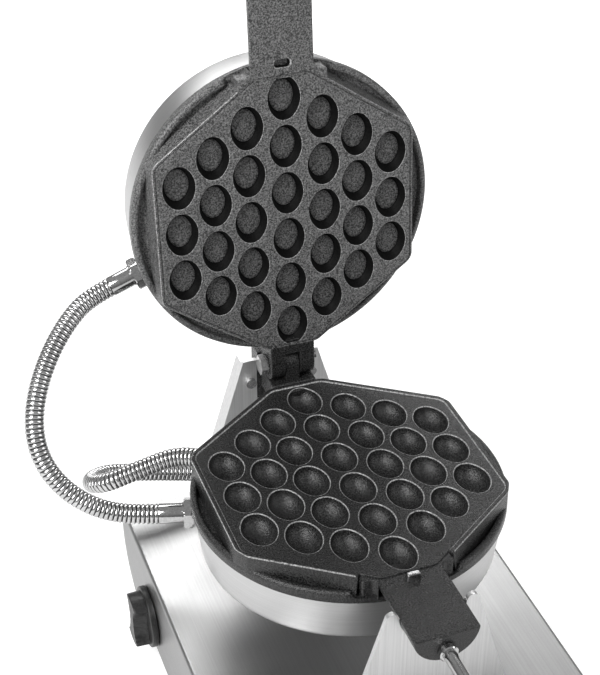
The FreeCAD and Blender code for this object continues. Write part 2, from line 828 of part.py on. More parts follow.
def base_housing():
    outer = base_profile(0).extrude(X_AXIS * base_width)
    top_edges = [e for e in outer.Edges if abs(e.BoundBox.ZMin - base_height) < running_gap
                 and e.BoundBox.XLength < running_gap]
    outer = outer.makeFillet(base_top_bend_radius, top_edges)
    inner = base_profile(base_sheet).extrude(X_AXIS * (base_width - 2 * base_sheet))
    hatch_x = foot_x() - base_flange_width / 2
    hatch_y = foot_pitch_y / 2 - base_flange_width / 2
    hatch = box(-hatch_x, hatch_x, -hatch_y, hatch_y, -overrun, base_sheet + overrun)
    holes = copies(cylinder(support_screw_radius + seat_gap, base_sheet + 2 * overrun,
                            Vec(0, 0, base_height - base_sheet - overrun)), support_screw_places())
    holes += copies(cylinder(foot_screw_radius + seat_gap, base_sheet + 2 * overrun,
                             Vec(0, 0, -overrun)), foot_places())
    holes += copies(cylinder(counter_hole_radius, base_sheet + 2 * overrun,
                             Vec(0, 0, -overrun)), counter_hole_places())
    holes.append(cylinder(thermostat_bush_radius + seat_gap, base_sheet + 2 * overrun,
                          Vec(-base_half_width - overrun, knob_y, knob_height), X_AXIS))
    left = -base_half_width - overrun
    through = base_sheet + 2 * overrun
    holes.append(box(left, left + through, switch_y - switch_width / 2, switch_y + switch_width / 2,
                     switch_height - switch_length / 2, switch_height + switch_length / 2))
    holes.append(cylinder(lamp_radius + seat_gap, through, Vec(left, lamp_y, switch_height), X_AXIS))
    holes.append(cylinder(mains_gland_stem_radius + seat_gap, base_sheet + 2 * overrun,
                          Vec(mains_gland_x, base_half_length - base_sheet - overrun,
                              mains_gland_height), Y_AXIS))
    wire_hole_y = pan_centre_y + bracket_place + support_sheet + bracket_wing_depth / 2
    holes.append(cylinder(wing_stem_radius, base_sheet + 2 * overrun,
                          Vec(-support_half_width, wire_hole_y, base_height - base_sheet - overrun)))
    return outer.cut(inner).cut([hatch] + holes)


def bottom_plate():
    """The vented plate that lies inside the base on its bottom flange, held by the foot screws."""
    x = foot_x() + base_flange_width / 4
    y = foot_pitch_y / 2 + base_flange_width / 4
    low = base_sheet
    plate = box(-x, x, -y, y, low, low + bottom_plate_sheet)
    slots = copies(cylinder(foot_screw_radius + seat_gap, bottom_plate_sheet + 2 * overrun,
                            Vec(0, 0, low - overrun)), foot_places())
    for side in (-1, 1):
        for k in range(vent_count):
            place = (k - (vent_count - 1) / 2) * vent_pitch
            middle = side * vent_row_offset
            slots.append(box(middle - vent_length / 2, middle + vent_length / 2, place - vent_width / 2,
                             place + vent_width / 2, low - overrun, low + bottom_plate_sheet + overrun))
    return plate.cut(slots)


def rubber_feet():
    profile = [Vec(0, 0, 0), Vec(foot_radius, 0, 0), Vec(foot_radius, 0, -foot_height / 4),
               Vec(foot_tip_radius, 0, -foot_height), Vec(0, 0, -foot_height)]
    foot = revolved(profile)
    recess = cylinder(foot_recess_radius, foot_recess_depth + overrun,
                      Vec(0, 0, -foot_height - overrun))
    hole = cylinder(foot_screw_radius + seat_gap, foot_height, Vec(0, 0, -foot_height))
    return Part.makeCompound(copies(foot.cut([recess, hole]), foot_places()))


def foot_screws():
    """Screws up through the feet into the base's bottom flange."""
    seat = -foot_height + foot_recess_depth
    one = screw(foot_screw_head_radius, foot_screw_head_height, foot_screw_radius,
                base_sheet + bottom_plate_sheet + foot_nut_height - seat, Vec(0, 0, seat), Z_AXIS)
    return Part.makeCompound(copies(one, foot_places()))


def support_outline(y, top):
    """Front view of a support plate: a trapezoid that widens towards the base."""
    foot = support_half_width + support_slope_share * axis_above_base
    head = support_half_width - support_slope_share * top
    return [Vec(-foot, y, -axis_above_base), Vec(foot, y, -axis_above_base),
            Vec(head, y, top), Vec(-head, y, top)]


def front_cradle():
    """The front support, a folded plate with a round notch that the journal turns in."""
    y = -cradle_place - support_sheet / 2
    plate = prism(support_outline(y, 0), Y_AXIS * support_sheet)
    lobe_x = support_half_width - lobe_radius
    for side in (-1, 1):
        plate = plate.fuse(cylinder(lobe_radius, support_sheet, Vec(side * lobe_x, y, 0), Y_AXIS))
    notch = cylinder(journal_radius + moving_gap, support_sheet + 2 * overrun,
                     Vec(0, y - overrun, 0), Y_AXIS)
    foot_x = support_half_width + support_slope_share * axis_above_base
    foot = box(-foot_x, foot_x, y, y + support_sheet + support_foot_length, -axis_above_base,
               -axis_above_base + support_sheet)
    shape = in_pan(plate.cut(notch).fuse(foot))
    return shape.cut(support_screw_holes())


def support_screw_holes():
    return copies(cylinder(support_screw_radius + seat_gap, support_sheet + 2 * overrun,
                           Vec(0, 0, base_height - overrun)), support_screw_places())


def support_screws():
    one = screw(support_screw_head_radius, support_screw_head_height, support_screw_radius,
                support_sheet + base_sheet + support_screw_radius, Vec(0, 0, base_height + support_sheet),
                -Z_AXIS)
    return Part.makeCompound(copies(one, support_screw_places()))


def wing_normal():
    """Outward direction of the rear bracket's left wing."""
    normal = Vec(-1, 0, support_slope_share)
    normal.normalize()
    return normal


def wing_gland_start():
    """Where the supply conduit's gland sits on the outside of the left wing."""
    x = -support_half_width - support_slope_share * wing_gland_drop
    y = bracket_place + support_sheet + (bracket_wing_depth - support_sheet) / 2
    return pan_place + Vec(x, y, -wing_gland_drop)


def rear_bracket():
    """The rear support: a notched plate with two wings folded back and a foot folded forward."""
    y = bracket_place
    front = prism(support_outline(y, bracket_top), Y_AXIS * support_sheet)
    solid = prism(support_outline(y, bracket_top), Y_AXIS * bracket_wing_depth)
    inner = prism([p + Vec(math.copysign(support_sheet, -p.x), support_sheet, 0)
                   for p in support_outline(y, bracket_top)], Y_AXIS * bracket_wing_depth)
    above = box(-rim_radius, rim_radius, y, y + 2 * bracket_wing_depth, bracket_top - overrun,
                bracket_top + overrun)
    wings = solid.cut(inner).cut(above).fuse(front)
    notch = box(-bracket_notch_half_width, bracket_notch_half_width, y - overrun,
                y + bracket_wing_depth + overrun, -bracket_notch_depth, bracket_top + overrun)
    foot_x = support_half_width + support_slope_share * axis_above_base
    foot = box(-foot_x, foot_x, y - support_foot_length, y + support_sheet, -axis_above_base,
               -axis_above_base + support_sheet)
    shape = wings.cut(notch).fuse(foot)
    shape = shape.cut(bolt_holes())
    shape = in_pan(shape).cut(support_screw_holes())
    normal = wing_normal()
    return shape.cut(cylinder(wing_stem_radius + seat_gap, 2 * stem_length,
                              wing_gland_start() - normal * stem_length, normal))


def wing_gland():
    normal = wing_normal()
    start = wing_gland_start()
    inner = support_sheet + nut_length / 2
    stem = cylinder(wing_stem_radius, inner, start - normal * inner, normal)
    nut = hexagon(wing_gland_across_flats, nut_length, start, normal)
    tube = cylinder(sleeve_radius, wing_gland_sleeve_length, start + normal * nut_length, normal)
    bore = cylinder(conduit_bore_radius, inner + nut_length + wing_gland_sleeve_length + 2 * overrun,
                    start - normal * (inner + overrun), normal)
    return stem.fuse([nut, tube]).cut(bore)


def bolt_places():
    return [Vec(side * flange_bolt_x, bracket_place, -flange_bolt_drop) for side in (-1, 1)]


def bolt_holes():
    length = support_sheet + block_flange_thickness + 2 * overrun
    return [cylinder(block_bolt_radius + seat_gap, length, place - Y_AXIS * overrun, Y_AXIS)
            for place in bolt_places()]


def bearing_block():
    """The black block that holds the rear journal's bush."""
    y = bracket_place + running_gap
    body = box(-block_half_width, block_half_width, y, y + block_length, -block_bottom_depth, block_top)
    back = bracket_place + support_sheet
    flange = box(-block_flange_half_width, block_flange_half_width, back, back + block_flange_thickness,
                 -block_bottom_depth, 0)
    bore = cylinder(collar_radius + seat_gap, block_length + 2 * overrun, Vec(0, y - overrun, 0), Y_AXIS)
    return in_pan(body.fuse(flange).cut([bore] + bolt_holes()))


def bearing_bush():
    y = bracket_place + running_gap
    sleeve = cylinder(collar_radius, block_length, Vec(0, y, 0), Y_AXIS)
    bore = cylinder(rear_journal_radius + running_gap, block_length + 2 * overrun,
                    Vec(0, y - overrun, 0), Y_AXIS)
    return in_pan(sleeve.cut(bore))


def bearing_bolts():
    """Bolts through the rear bracket and the bearing block's flange."""
    return in_pan(Part.makeCompound([
        screw(block_bolt_head_radius, block_bolt_head_height, block_bolt_radius,
              support_sheet + block_flange_thickness, place, Y_AXIS) for place in bolt_places()]))


def thermostat_knob():
    """Round skirt and a body cut to a finger bar, on the left side of the base."""
    face = -base_half_width - knob_panel_gap
    start = Vec(face, knob_y, knob_height)
    skirt = cylinder(knob_radius, knob_skirt_length, start, -X_AXIS)
    body = cylinder(knob_body_radius, knob_body_length, start - X_AXIS * knob_skirt_length, -X_AXIS)
    cheek_y = knob_bar_half_width + knob_cheek_radius
    for side in (-1, 1):
        cheek = Part.makeSphere(knob_cheek_radius, start + Vec(
            -knob_skirt_length - knob_body_length, side * cheek_y * knob_cheek_share, 0))
        body = body.cut(cheek)
    hole = cylinder(shaft_radius + seat_gap, knob_skirt_length + shaft_insertion, start, -X_AXIS)
    return skirt.fuse(body).cut(hole)


def thermostat_shaft():
    face = -base_half_width - knob_panel_gap
    length = knob_panel_gap + knob_skirt_length + shaft_insertion + base_sheet + thermostat_bush_length
    return cylinder(shaft_radius, length, Vec(face - knob_skirt_length - shaft_insertion, knob_y,
                                              knob_height), X_AXIS)


def thermostat():
    """Thermostat body behind the left panel, with the threaded bush that its shaft turns in."""
    inside = -base_half_width + base_sheet
    hub = Vec(inside, knob_y, knob_height)
    body = box(inside + thermostat_bush_length, inside + thermostat_bush_length + thermostat_depth,
               knob_y - thermostat_half_width, knob_y + thermostat_half_width,
               knob_height - thermostat_half_width, knob_height + thermostat_half_width)
    bush = cylinder(thermostat_bush_radius, thermostat_bush_length + base_sheet,
                    hub - X_AXIS * base_sheet, X_AXIS)
    nut = hexagon(2 * thermostat_nut_radius, thermostat_bush_length, hub, X_AXIS)
    hole = cylinder(shaft_radius + running_gap, thermostat_bush_length + 2 * base_sheet + overrun,
                    hub - X_AXIS * (base_sheet + overrun), X_AXIS)
    return body.fuse([bush, nut]).cut(hole)


def switch_frame():
    """The switch's bezel and body in the left panel, with a well for its rocker."""
    left = -base_half_width
    half_y = switch_width / 2
    half_z = switch_length / 2
    margin = switch_bezel_margin
    bezel = box(left - switch_bezel, left, switch_y - half_y - margin, switch_y + half_y + margin,
                switch_height - half_z - margin, switch_height + half_z + margin)
    half_y -= seat_gap
    half_z -= seat_gap
    body = box(left - switch_bezel, left + switch_body_depth, switch_y - half_y, switch_y + half_y,
               switch_height - half_z, switch_height + half_z)
    half_y -= switch_bezel
    half_z -= switch_bezel
    well = box(left - switch_bezel - overrun, left + rocker_well_depth, switch_y - half_y,
               switch_y + half_y, switch_height - half_z, switch_height + half_z)
    return bezel.fuse(body).cut(well)


def switch_rocker():
    """A rocker with two shallow faces, pressed at its lower end when it is at rest."""
    pivot = Vec(-base_half_width + rocker_pivot_depth, 0, switch_height)
    half_y = switch_width / 2 - seat_gap - switch_bezel - rocker_gap
    outer = rocker_pivot_depth + rocker_rise
    profile = [(-outer, 0), (-outer + rocker_dish, rocker_half_height),
               (0, rocker_half_height), (rocker_pivot_depth, rocker_keel_half_height),
               (rocker_pivot_depth, -rocker_keel_half_height), (0, -rocker_half_height),
               (-outer + rocker_dish, -rocker_half_height)]
    rocker = prism([pivot + Vec(x, switch_y - half_y, z) for x, z in profile], Y_AXIS * (2 * half_y))
    rocker.rotate(pivot, Y_AXIS, -rocker_travel / 2)
    return rocker


def signal_lamp():
    """A lamp in the left panel: bezel, body and a low dome."""
    outer = lamp_bezel_length + lamp_dome_length
    points = [Vec(0, 0, -lamp_body_length), Vec(lamp_radius, 0, -lamp_body_length),
              Vec(lamp_radius, 0, 0), Vec(lamp_bezel_radius, 0, 0),
              Vec(lamp_bezel_radius, 0, lamp_bezel_length), Vec(lamp_radius, 0, lamp_bezel_length),
              Vec(lamp_radius * lamp_dome_share, 0, outer - lamp_dome_length / 3),
              Vec(lamp_radius / 2, 0, outer), Vec(0, 0, outer)]
    lamp = revolved(points)
    lamp.Placement = FreeCAD.Placement(Vec(-base_half_width, lamp_y, switch_height),
                                       FreeCAD.Rotation(Z_AXIS, -X_AXIS))
    return lamp


def mains_gland():
    """The supply cable's gland on the back of the base."""
    start = Vec(mains_gland_x, base_half_length, mains_gland_height)
    tail = mains_gland_stem_length + base_sheet
    cap_end = mains_gland_nut_length + mains_gland_cap_length
    points = [Vec(mains_gland_bore_radius, 0, -tail), Vec(mains_gland_stem_radius, 0, -tail),
              Vec(mains_gland_stem_radius, 0, mains_gland_nut_length),
              Vec(mains_gland_cap_radius, 0, mains_gland_nut_length),
              Vec(mains_gland_cap_radius, 0, cap_end - mains_gland_cap_length / 2),
              Vec(mains_gland_cap_radius * mains_gland_cap_share, 0, cap_end),
              Vec(mains_gland_bore_radius, 0, cap_end)]
    cap = revolved(points)
    cap.Placement = FreeCAD.Placement(start, FreeCAD.Rotation(Z_AXIS, Y_AXIS))
    nut = hexagon(mains_gland_across_flats, mains_gland_nut_length, start, Y_AXIS)
    bore = cylinder(mains_gland_bore_radius, mains_gland_nut_length + 2 * overrun,
                    start - Y_AXIS * overrun, Y_AXIS)
    return cap.fuse(nut.cut(bore))


def terminal_block():
    low = base_sheet + bottom_plate_sheet
    block = box(terminal_x - terminal_length / 2, terminal_x + terminal_length / 2,
                terminal_y - terminal_width / 2, terminal_y + terminal_width / 2,
                low, low + terminal_height)
    pitch = terminal_length / terminal_well_count
    wells = [(terminal_x + (k - (terminal_well_count - 1) / 2) * pitch,
              terminal_y + side * terminal_width / 4)
             for k in range(terminal_well_count) for side in (-1, 1)]
    return block.cut(copies(cylinder(terminal_well_radius, terminal_well_depth + overrun,
                                     Vec(0, 0, low + terminal_height - terminal_well_depth)), wells))


def smooth_path(route):
    """Straight runs joined by tangent arcs, and the radius of each arc."""
    points = route
    edges = []
    radii = []
    last = points[0]
    for k in range(1, len(points) - 1):
        before = points[k - 1] - points[k]
        after = points[k + 1] - points[k]
        shorter = min(before.Length, after.Length)
        before.normalize()
        after.normalize()
        half = before.getAngle(after) / 2
        reach = conduit_arc_share * shorter
        radius = reach * math.tan(half)
        middle = before + after
        middle.normalize()
        start = points[k] + before * reach
        top = points[k] + middle * (radius / math.sin(half) - radius)
        finish = points[k] + after * reach
        edges.append(Part.LineSegment(last, start).toShape())
        edges.append(Part.Arc(start, top, finish).toShape())
        radii.append(radius)
        last = finish
    edges.append(Part.LineSegment(last, points[-1]).toShape())
    return Part.Wire(edges), radii


def ring_across(centre, direction, side, radius):
    """A circle across a path, whose start lies on the given side."""
    circle = Part.Circle(ORIGIN, Z_AXIS, radius).toShape()
    rotation = FreeCAD.Rotation(side, direction.cross(side), direction, "ZXY")
    circle.Placement = FreeCAD.Placement(centre, rotation)
    return Part.Wire([circle])


def steady_side(side, direction):
    """The side carried along the path without twist: square to the new direction."""
    carried = side - direction * side.dot(direction)
    carried.normalize()
    return carried


def ribbed_conduit(route, name):
    """Interlocked steel conduit: a bore, and ribs around it at a steady pitch."""
    path, radii = smooth_path(route)
    length = path.Length
    count = int((length - 4 * conduit_radius) / conduit_rib_pitch)
    first = (length - count * conduit_rib_pitch) / 2
    stations = [(0, conduit_root_radius)]
    for k in range(count):
        start = first + k * conduit_rib_pitch
        stations.append((start, conduit_root_radius))
        for share in rib_crest_shares:
            stations.append((start + share * conduit_rib_pitch, conduit_radius))
    stations.append((length - first, conduit_root_radius))
    stations.append((length, conduit_root_radius))
    circles = []
    walked = 0
    edges = list(path.Edges)
    k = 0
    side = Z_AXIS
    for distance, radius in stations:
        while k < len(edges) - 1 and distance > walked + edges[k].Length:
            walked += edges[k].Length
            k += 1
        parameter = edges[k].getParameterByLength(min(distance - walked, edges[k].Length))
        direction = edges[k].tangentAt(parameter)
        side = steady_side(side, direction)
        circles.append(ring_across(edges[k].valueAt(parameter), direction, side, radius))
    body = Part.makeLoft(circles, True, True)
    heading = route[1] - route[0]
    heading.normalize()
    ring = ring_across(route[0], heading, steady_side(Z_AXIS, heading), conduit_bore_radius)
    bore = path.makePipeShell([ring], True, False)
    print(name, "route", [tuple(round(v, 2) for v in p) for p in route])
    print(name, "length %.1f" % length, "ribs", count, "radii",
          " ".join("%.0f" % r for r in radii), "bore volume share %.4f"
          % (bore.Volume / (math.pi * conduit_bore_radius ** 2 * length)))
    return body.cut(bore)


def sleeve_end(depth, angle, sleeve, run):
    """A point on a gland's axis, a run beyond the end of its sleeve, in the pan."""
    start, outwards = gland_line(depth, angle)
    return start + outwards * (nut_length + sleeve + run)


def as_opened(point):
    """Where a point of the shut lid lies when the lid is open."""
    vertex = opened(turn_over(Part.Vertex(point)))
    return vertex.Point


def link_route():
    """Centre line of the conduit between the two pans."""
    low = [pan_place + sleeve_end(link_gland_depth, link_gland_angle, sleeve_length, run)
           for run in (0, conduit_end_run)]
    high = [as_opened(sleeve_end(lid_gland_depth, lid_gland_angle, sleeve_length, run))
            for run in (conduit_end_run, 0)]
    return low + [Vec(*p) for p in link_points] + high


def feed_route():
    """Centre line of the conduit from the rear bracket to the lower pan."""
    normal = wing_normal()
    first = wing_gland_start() + normal * (nut_length + wing_gland_sleeve_length)
    last = [pan_place + sleeve_end(feed_gland_depth, feed_gland_angle, short_sleeve_length, run)
            for run in (conduit_end_run, 0)]
    return [first, first + normal * conduit_end_run] + [Vec(*p) for p in feed_points] + last


def build():
    parts = {"base_housing": base_housing(), "bottom_plate": bottom_plate(),
             "rubber_feet": rubber_feet(), "foot_screws": foot_screws(),
             "front_cradle": front_cradle(), "rear_bracket": rear_bracket(),
             "support_screws": support_screws(), "bearing_block": bearing_block(),
             "bearing_bush": bearing_bush(), "bearing_bolts": bearing_bolts(),
             "supply_gland": wing_gland(), "thermostat": thermostat(),
             "thermostat_knob": thermostat_knob(), "thermostat_shaft": thermostat_shaft(),
             "switch_frame": switch_frame(), "switch_rocker": switch_rocker(),
             "signal_lamp": signal_lamp(), "mains_gland": mains_gland(),
             "terminal_block": terminal_block()}

    lower = {"lower_plate": lower_plate(), "lower_shell": spun_shell([
                 gland_hole(link_gland_depth, link_gland_angle),
                 gland_hole(feed_gland_depth, feed_gland_angle)]),
             "lower_heater": heater(), "lower_heater_clamp": clamp_plate(),
             "lower_insulation": insulation(), "lower_shell_screws": shell_screws(),
             "lower_handle_rod": handle_rod(), "lower_handle_ferrule": handle_ferrule(),
             "lower_handle_grip": handle_grip(),
             "lower_link_gland": gland(link_gland_depth, link_gland_angle, sleeve_length),
             "lower_supply_gland": gland(feed_gland_depth, feed_gland_angle, short_sleeve_length),
             "hinge_pin": hinge_pin(), "hinge_clip": hinge_clip()}
    for name, shape in lower.items():
        parts[name] = in_pan(shape)

    lid = {"upper_shell": spun_shell([gland_hole(lid_gland_depth, lid_gland_angle)]),
           "upper_heater": heater(), "upper_heater_clamp": clamp_plate(),
           "upper_insulation": insulation(), "upper_shell_screws": shell_screws(),
           "upper_handle_rod": handle_rod(), "upper_handle_ferrule": handle_ferrule(),
           "upper_handle_grip": handle_grip(),
           "upper_link_gland": gland(lid_gland_depth, lid_gland_angle, sleeve_length)}
    for name, shape in lid.items():
        parts[name] = opened(turn_over(shape))
    parts["upper_plate"] = opened(upper_plate())

    parts["link_conduit"] = ribbed_conduit(link_route(), "link_conduit")
    parts["supply_conduit"] = ribbed_conduit(feed_route(), "supply_conduit")
    return parts


if __name__ == "__main__":
    os.makedirs("parts", exist_ok=True)
    for node, solid in build().items():
        solid.exportStep("parts/" + node + ".step")
        print("%-22s solids %d volume %.0f valid %s" % (node, len(solid.Solids), solid.Volume,
                                                       solid.isValid()))
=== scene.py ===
import math

import bmesh
import bpy
import numpy as np
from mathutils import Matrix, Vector
from mathutils.geometry import tessellate_polygon


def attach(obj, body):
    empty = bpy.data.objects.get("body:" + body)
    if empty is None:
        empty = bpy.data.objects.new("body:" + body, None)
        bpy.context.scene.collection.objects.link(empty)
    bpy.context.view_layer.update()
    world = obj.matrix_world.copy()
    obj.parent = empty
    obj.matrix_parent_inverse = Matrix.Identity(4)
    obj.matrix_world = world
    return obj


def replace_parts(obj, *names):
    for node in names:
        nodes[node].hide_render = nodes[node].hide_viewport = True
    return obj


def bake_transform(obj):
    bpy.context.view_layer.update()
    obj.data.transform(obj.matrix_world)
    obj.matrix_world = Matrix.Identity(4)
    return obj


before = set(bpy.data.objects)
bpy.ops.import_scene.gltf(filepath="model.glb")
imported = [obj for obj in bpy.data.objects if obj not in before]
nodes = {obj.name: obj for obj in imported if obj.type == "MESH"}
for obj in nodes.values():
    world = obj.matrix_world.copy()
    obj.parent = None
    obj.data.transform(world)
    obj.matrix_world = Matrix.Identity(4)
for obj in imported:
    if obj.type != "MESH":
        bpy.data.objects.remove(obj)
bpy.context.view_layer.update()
scene = bpy.context.scene


# ---------------------------------------------------------------- Studio
# A white sweep under two large soft boxes and a pale room, seen from the front left and above.
# The floor and the room look white to the camera and in the steel, and the floor keeps the shadow.
scene.view_settings.view_transform = "Standard"

lens = bpy.data.cameras.new("camera")
lens.lens = 84.86
lens.sensor_width = 36
lens.clip_end = 50
camera = bpy.data.objects.new("camera", lens)
scene.collection.objects.link(camera)
camera.location = (-0.2880, -0.6819, 0.7869)
camera.rotation_euler = Vector((0.2837, 0.7738, -0.5664)).to_track_quat("-Z", "Y").to_euler()
scene.camera = camera


def new_material(name):
    """An empty node material."""
    material = bpy.data.materials.new(name)
    material.use_nodes = True
    material.node_tree.nodes.clear()
    return material


def add(tree, kind, *first, **named):
    """One node of a kind. The first values go to its sockets in turn; plain names set its options and
    upper-case names its sockets. A value that is another node's output is joined to the socket."""
    node = tree.nodes.new(kind)
    sockets = list(zip(node.inputs, first))
    for key, value in named.items():
        if key[0].isupper():
            sockets.append((node.inputs[key.replace("_", " ")], value))
        else:
            setattr(node, key, value)
    for socket, value in sockets:
        if isinstance(value, bpy.types.NodeSocket):
            tree.links.new(value, socket)
        else:
            socket.default_value = value
    return node


def mapped(tree, value, from_low, from_high, to_low=0.0, to_high=1.0):
    """A value carried in proportion from one range to another, and held at its ends."""
    return add(tree, "ShaderNodeMapRange", value, from_low, from_high, to_low, to_high).outputs[0]


def pale_room_light(name, colour, strength, place, aim, width, height):
    """A soft box: an area lamp at a place, turned towards a point."""
    lamp = bpy.data.lights.new(name, "AREA")
    lamp.shape = "RECTANGLE"
    lamp.size = width
    lamp.size_y = height
    lamp.energy = strength
    lamp.color = colour
    box = bpy.data.objects.new(name, lamp)
    box.location = place
    box.rotation_euler = (Vector(aim) - Vector(place)).to_track_quat("-Z", "Y").to_euler()
    scene.collection.objects.link(box)


pan_centre = (0.0, 0.03, 0.17)
pale_room_light("soft_box_left", (1, 1, 1), 30, (-1.25, -0.55, 1.25), pan_centre, 0.7, 1.1)
pale_room_light("soft_box_right", (1, 1, 1), 9, (1.4, -0.7, 1.1), pan_centre, 0.9, 1.2)
pale_room_light("soft_box_back", (1, 1, 1), 16, (0.2, 1.5, 1.3), pan_centre, 1.6, 0.5)

room = bpy.data.worlds.new("pale_room")
room.use_nodes = True
scene.world = room
tree = room.node_tree
tree.nodes.clear()
rays = add(tree, "ShaderNodeLightPath")
place = add(tree, "ShaderNodeTexCoord")
split = add(tree, "ShaderNodeSeparateXYZ", place.outputs["Generated"])
ramp = add(tree, "ShaderNodeValToRGB", mapped(tree, split.outputs[2], -1.0, 1.0))
for stop, position, grey in zip(ramp.color_ramp.elements, (0.42, 0.80), (0.09, 0.36)):
    stop.position = position
    stop.color = (grey, grey, grey, 1)
white = add(tree, "ShaderNodeMix", rays.outputs["Is Camera Ray"], data_type="RGBA")
tree.links.new(ramp.outputs[0], white.inputs[6])
white.inputs[7].default_value = (1, 1, 1, 1)
glow = add(tree, "ShaderNodeBackground", white.outputs[2])
add(tree, "ShaderNodeOutputWorld", glow.outputs[0])

floor_mesh = bpy.data.meshes.new("floor")
floor_mesh.from_pydata([(-6, -6, -0.012), (6, -6, -0.012), (6, 6, -0.012), (-6, 6, -0.012)], [],
                       [(0, 1, 2, 3)])
floor = bpy.data.objects.new("floor", floor_mesh)
scene.collection.objects.link(floor)
floor_white = new_material("white_floor")
tree = floor_white.node_tree
rays = add(tree, "ShaderNodeLightPath")
mirrored = add(tree, "ShaderNodeMath", rays.outputs["Is Glossy Ray"], 0.30, operation="MULTIPLY")
where = add(tree, "ShaderNodeNewGeometry")
away = add(tree, "ShaderNodeVectorMath", where.outputs["Position"], operation="LENGTH")
seen = mapped(tree, away.outputs["Value"], 0.4, 1.3, 0.62, 1.0)
share = add(tree, "ShaderNodeMath", rays.outputs["Is Camera Ray"], seen, mirrored.outputs[0],
            operation="MULTIPLY_ADD")
matt = add(tree, "ShaderNodeBsdfDiffuse", (0.62, 0.62, 0.62, 1))
shine = add(tree, "ShaderNodeEmission", (1, 1, 1, 1), share.outputs[0])
both = add(tree, "ShaderNodeAddShader", matt.outputs[0], shine.outputs[0])
add(tree, "ShaderNodeOutputMaterial", both.outputs[0])
floor_mesh.materials.append(floor_white)


# ---------------------------------------------------------------- Steel conduits
# Two interlocked steel hoses of 12.4 mm that carry the wires: one joins the two pans in a wide
# arc on the left, the other comes from the rear bracket in a hook. Wound from bright strip.
def effect_group(name, inputs, outputs):
    """An empty node group with named sockets, each given as (name, kind, value)."""
    group = bpy.data.node_groups.new(name, "ShaderNodeTree")
    for label, kind, value in inputs:
        socket = group.interface.new_socket(label, in_out="INPUT", socket_type="NodeSocket" + kind)
        socket.default_value = value
    for label, kind in outputs:
        group.interface.new_socket(label, in_out="OUTPUT", socket_type="NodeSocket" + kind)
    return group, group.nodes.new("NodeGroupInput"), group.nodes.new("NodeGroupOutput")


def use_group(tree, group, **values):
    """One node that holds a group, with its named sockets set."""
    node = tree.nodes.new("ShaderNodeGroup")
    node.node_tree = group
    for key, value in values.items():
        node.inputs[key].default_value = value
    return node


def steel_smudges_group():
    """Cloudy handling marks on bright metal: two noises, coarse times fine."""
    group, taken, given = effect_group("steel_smudges", [("Size", "Float", 30.0)], [("Mask", "Float")])
    where = add(group, "ShaderNodeTexCoord")
    coarse = add(group, "ShaderNodeTexNoise", Vector=where.outputs["Object"],
                 Scale=taken.outputs["Size"], Detail=4.0, Roughness=0.6)
    fine = add(group, "ShaderNodeTexNoise", Vector=where.outputs["Object"], Scale=900.0, Detail=2.0)
    product = add(group, "ShaderNodeMath", coarse.outputs["Fac"], fine.outputs["Fac"],
                  operation="MULTIPLY")
    group.links.new(mapped(group, product.outputs[0], 0.12, 0.40), given.inputs["Mask"])
    return group


steel_smudges = steel_smudges_group()


def mixed(tree, share, dark, light):
    """The colour at a share of the way from dark to light, each a colour or one level of grey."""
    mix = add(tree, "ShaderNodeMix", share, data_type="RGBA")
    for socket, colour in ((mix.inputs[6], dark), (mix.inputs[7], light)):
        socket.default_value = (*np.broadcast_to(np.array(colour, float), 3), 1)
    return mix.outputs[2]


def surface(tree, colour, rough, **named):
    """A Principled shader with a colour, a roughness and what else is named, joined to the output."""
    shader = add(tree, "ShaderNodeBsdfPrincipled", Base_Color=colour, Roughness=rough, **named)
    add(tree, "ShaderNodeOutputMaterial", shader.outputs[0])


def bright_metal(name, dark, light, rough_low, rough_high, size):
    """Polished metal whose colour and roughness wander a little with the smudges."""
    material = new_material(name)
    tree = material.node_tree
    mask = use_group(tree, steel_smudges, Size=size).outputs["Mask"]
    surface(tree, mixed(tree, mask, dark, light), mapped(tree, mask, 0.0, 1.0, rough_low, rough_high),
            Metallic=1.0)
    return material


def grid(points, around=False):
    """Corner points and quads of a surface given as rows of points; around joins the columns' ends."""
    rows, columns = points.shape[:2]
    number = np.arange(rows * columns).reshape(rows, columns)
    if around:
        number = np.hstack([number, number[:, :1]])
    quads = np.stack([number[:-1, :-1], number[:-1, 1:], number[1:, 1:], number[1:, :-1]], -1)
    return points.reshape(-1, 3), [tuple(q) for q in quads.reshape(-1, 4).tolist()]


def fan(ring):
    """A closed ring of points joined to its middle by triangles."""
    count = len(ring)
    return np.vstack([ring, ring.mean(0)]), [(k, (k + 1) % count, count) for k in range(count)]


def make_piece(name, surfaces, material, crease=35):
    """One mesh of several (points in metres, faces): doubles merged, smooth but for sharp creases."""
    points = []
    faces = []
    total = 0
    for corner_points, quads in surfaces:
        points.append(np.asarray(corner_points, float).reshape(-1, 3))
        faces += [tuple(c + total for c in q) for q in quads]
        total += len(points[-1])
    mesh = bpy.data.meshes.new(name)
    mesh.from_pydata(np.vstack(points).tolist(), [], faces)
    work = bmesh.new()
    work.from_mesh(mesh)
    bmesh.ops.remove_doubles(work, verts=work.verts, dist=2e-6)
    work.to_mesh(mesh)
    work.free()
    mesh.polygons.foreach_set("use_smooth", [True] * len(mesh.polygons))
    mesh.set_sharp_from_angle(angle=math.radians(crease))
    mesh.materials.append(material)
    piece = bpy.data.objects.new(name, mesh)
    scene.collection.objects.link(piece)
    return piece


rib_shares = np.array([0.0, 0.07, 0.16, 0.34, 0.52, 0.70, 0.86, 0.94])
rib_heights = np.array([0.0, 0.55, 0.86, 1.0, 0.98, 0.86, 0.62, 0.10])
gap_rows = (0, 6, 7)


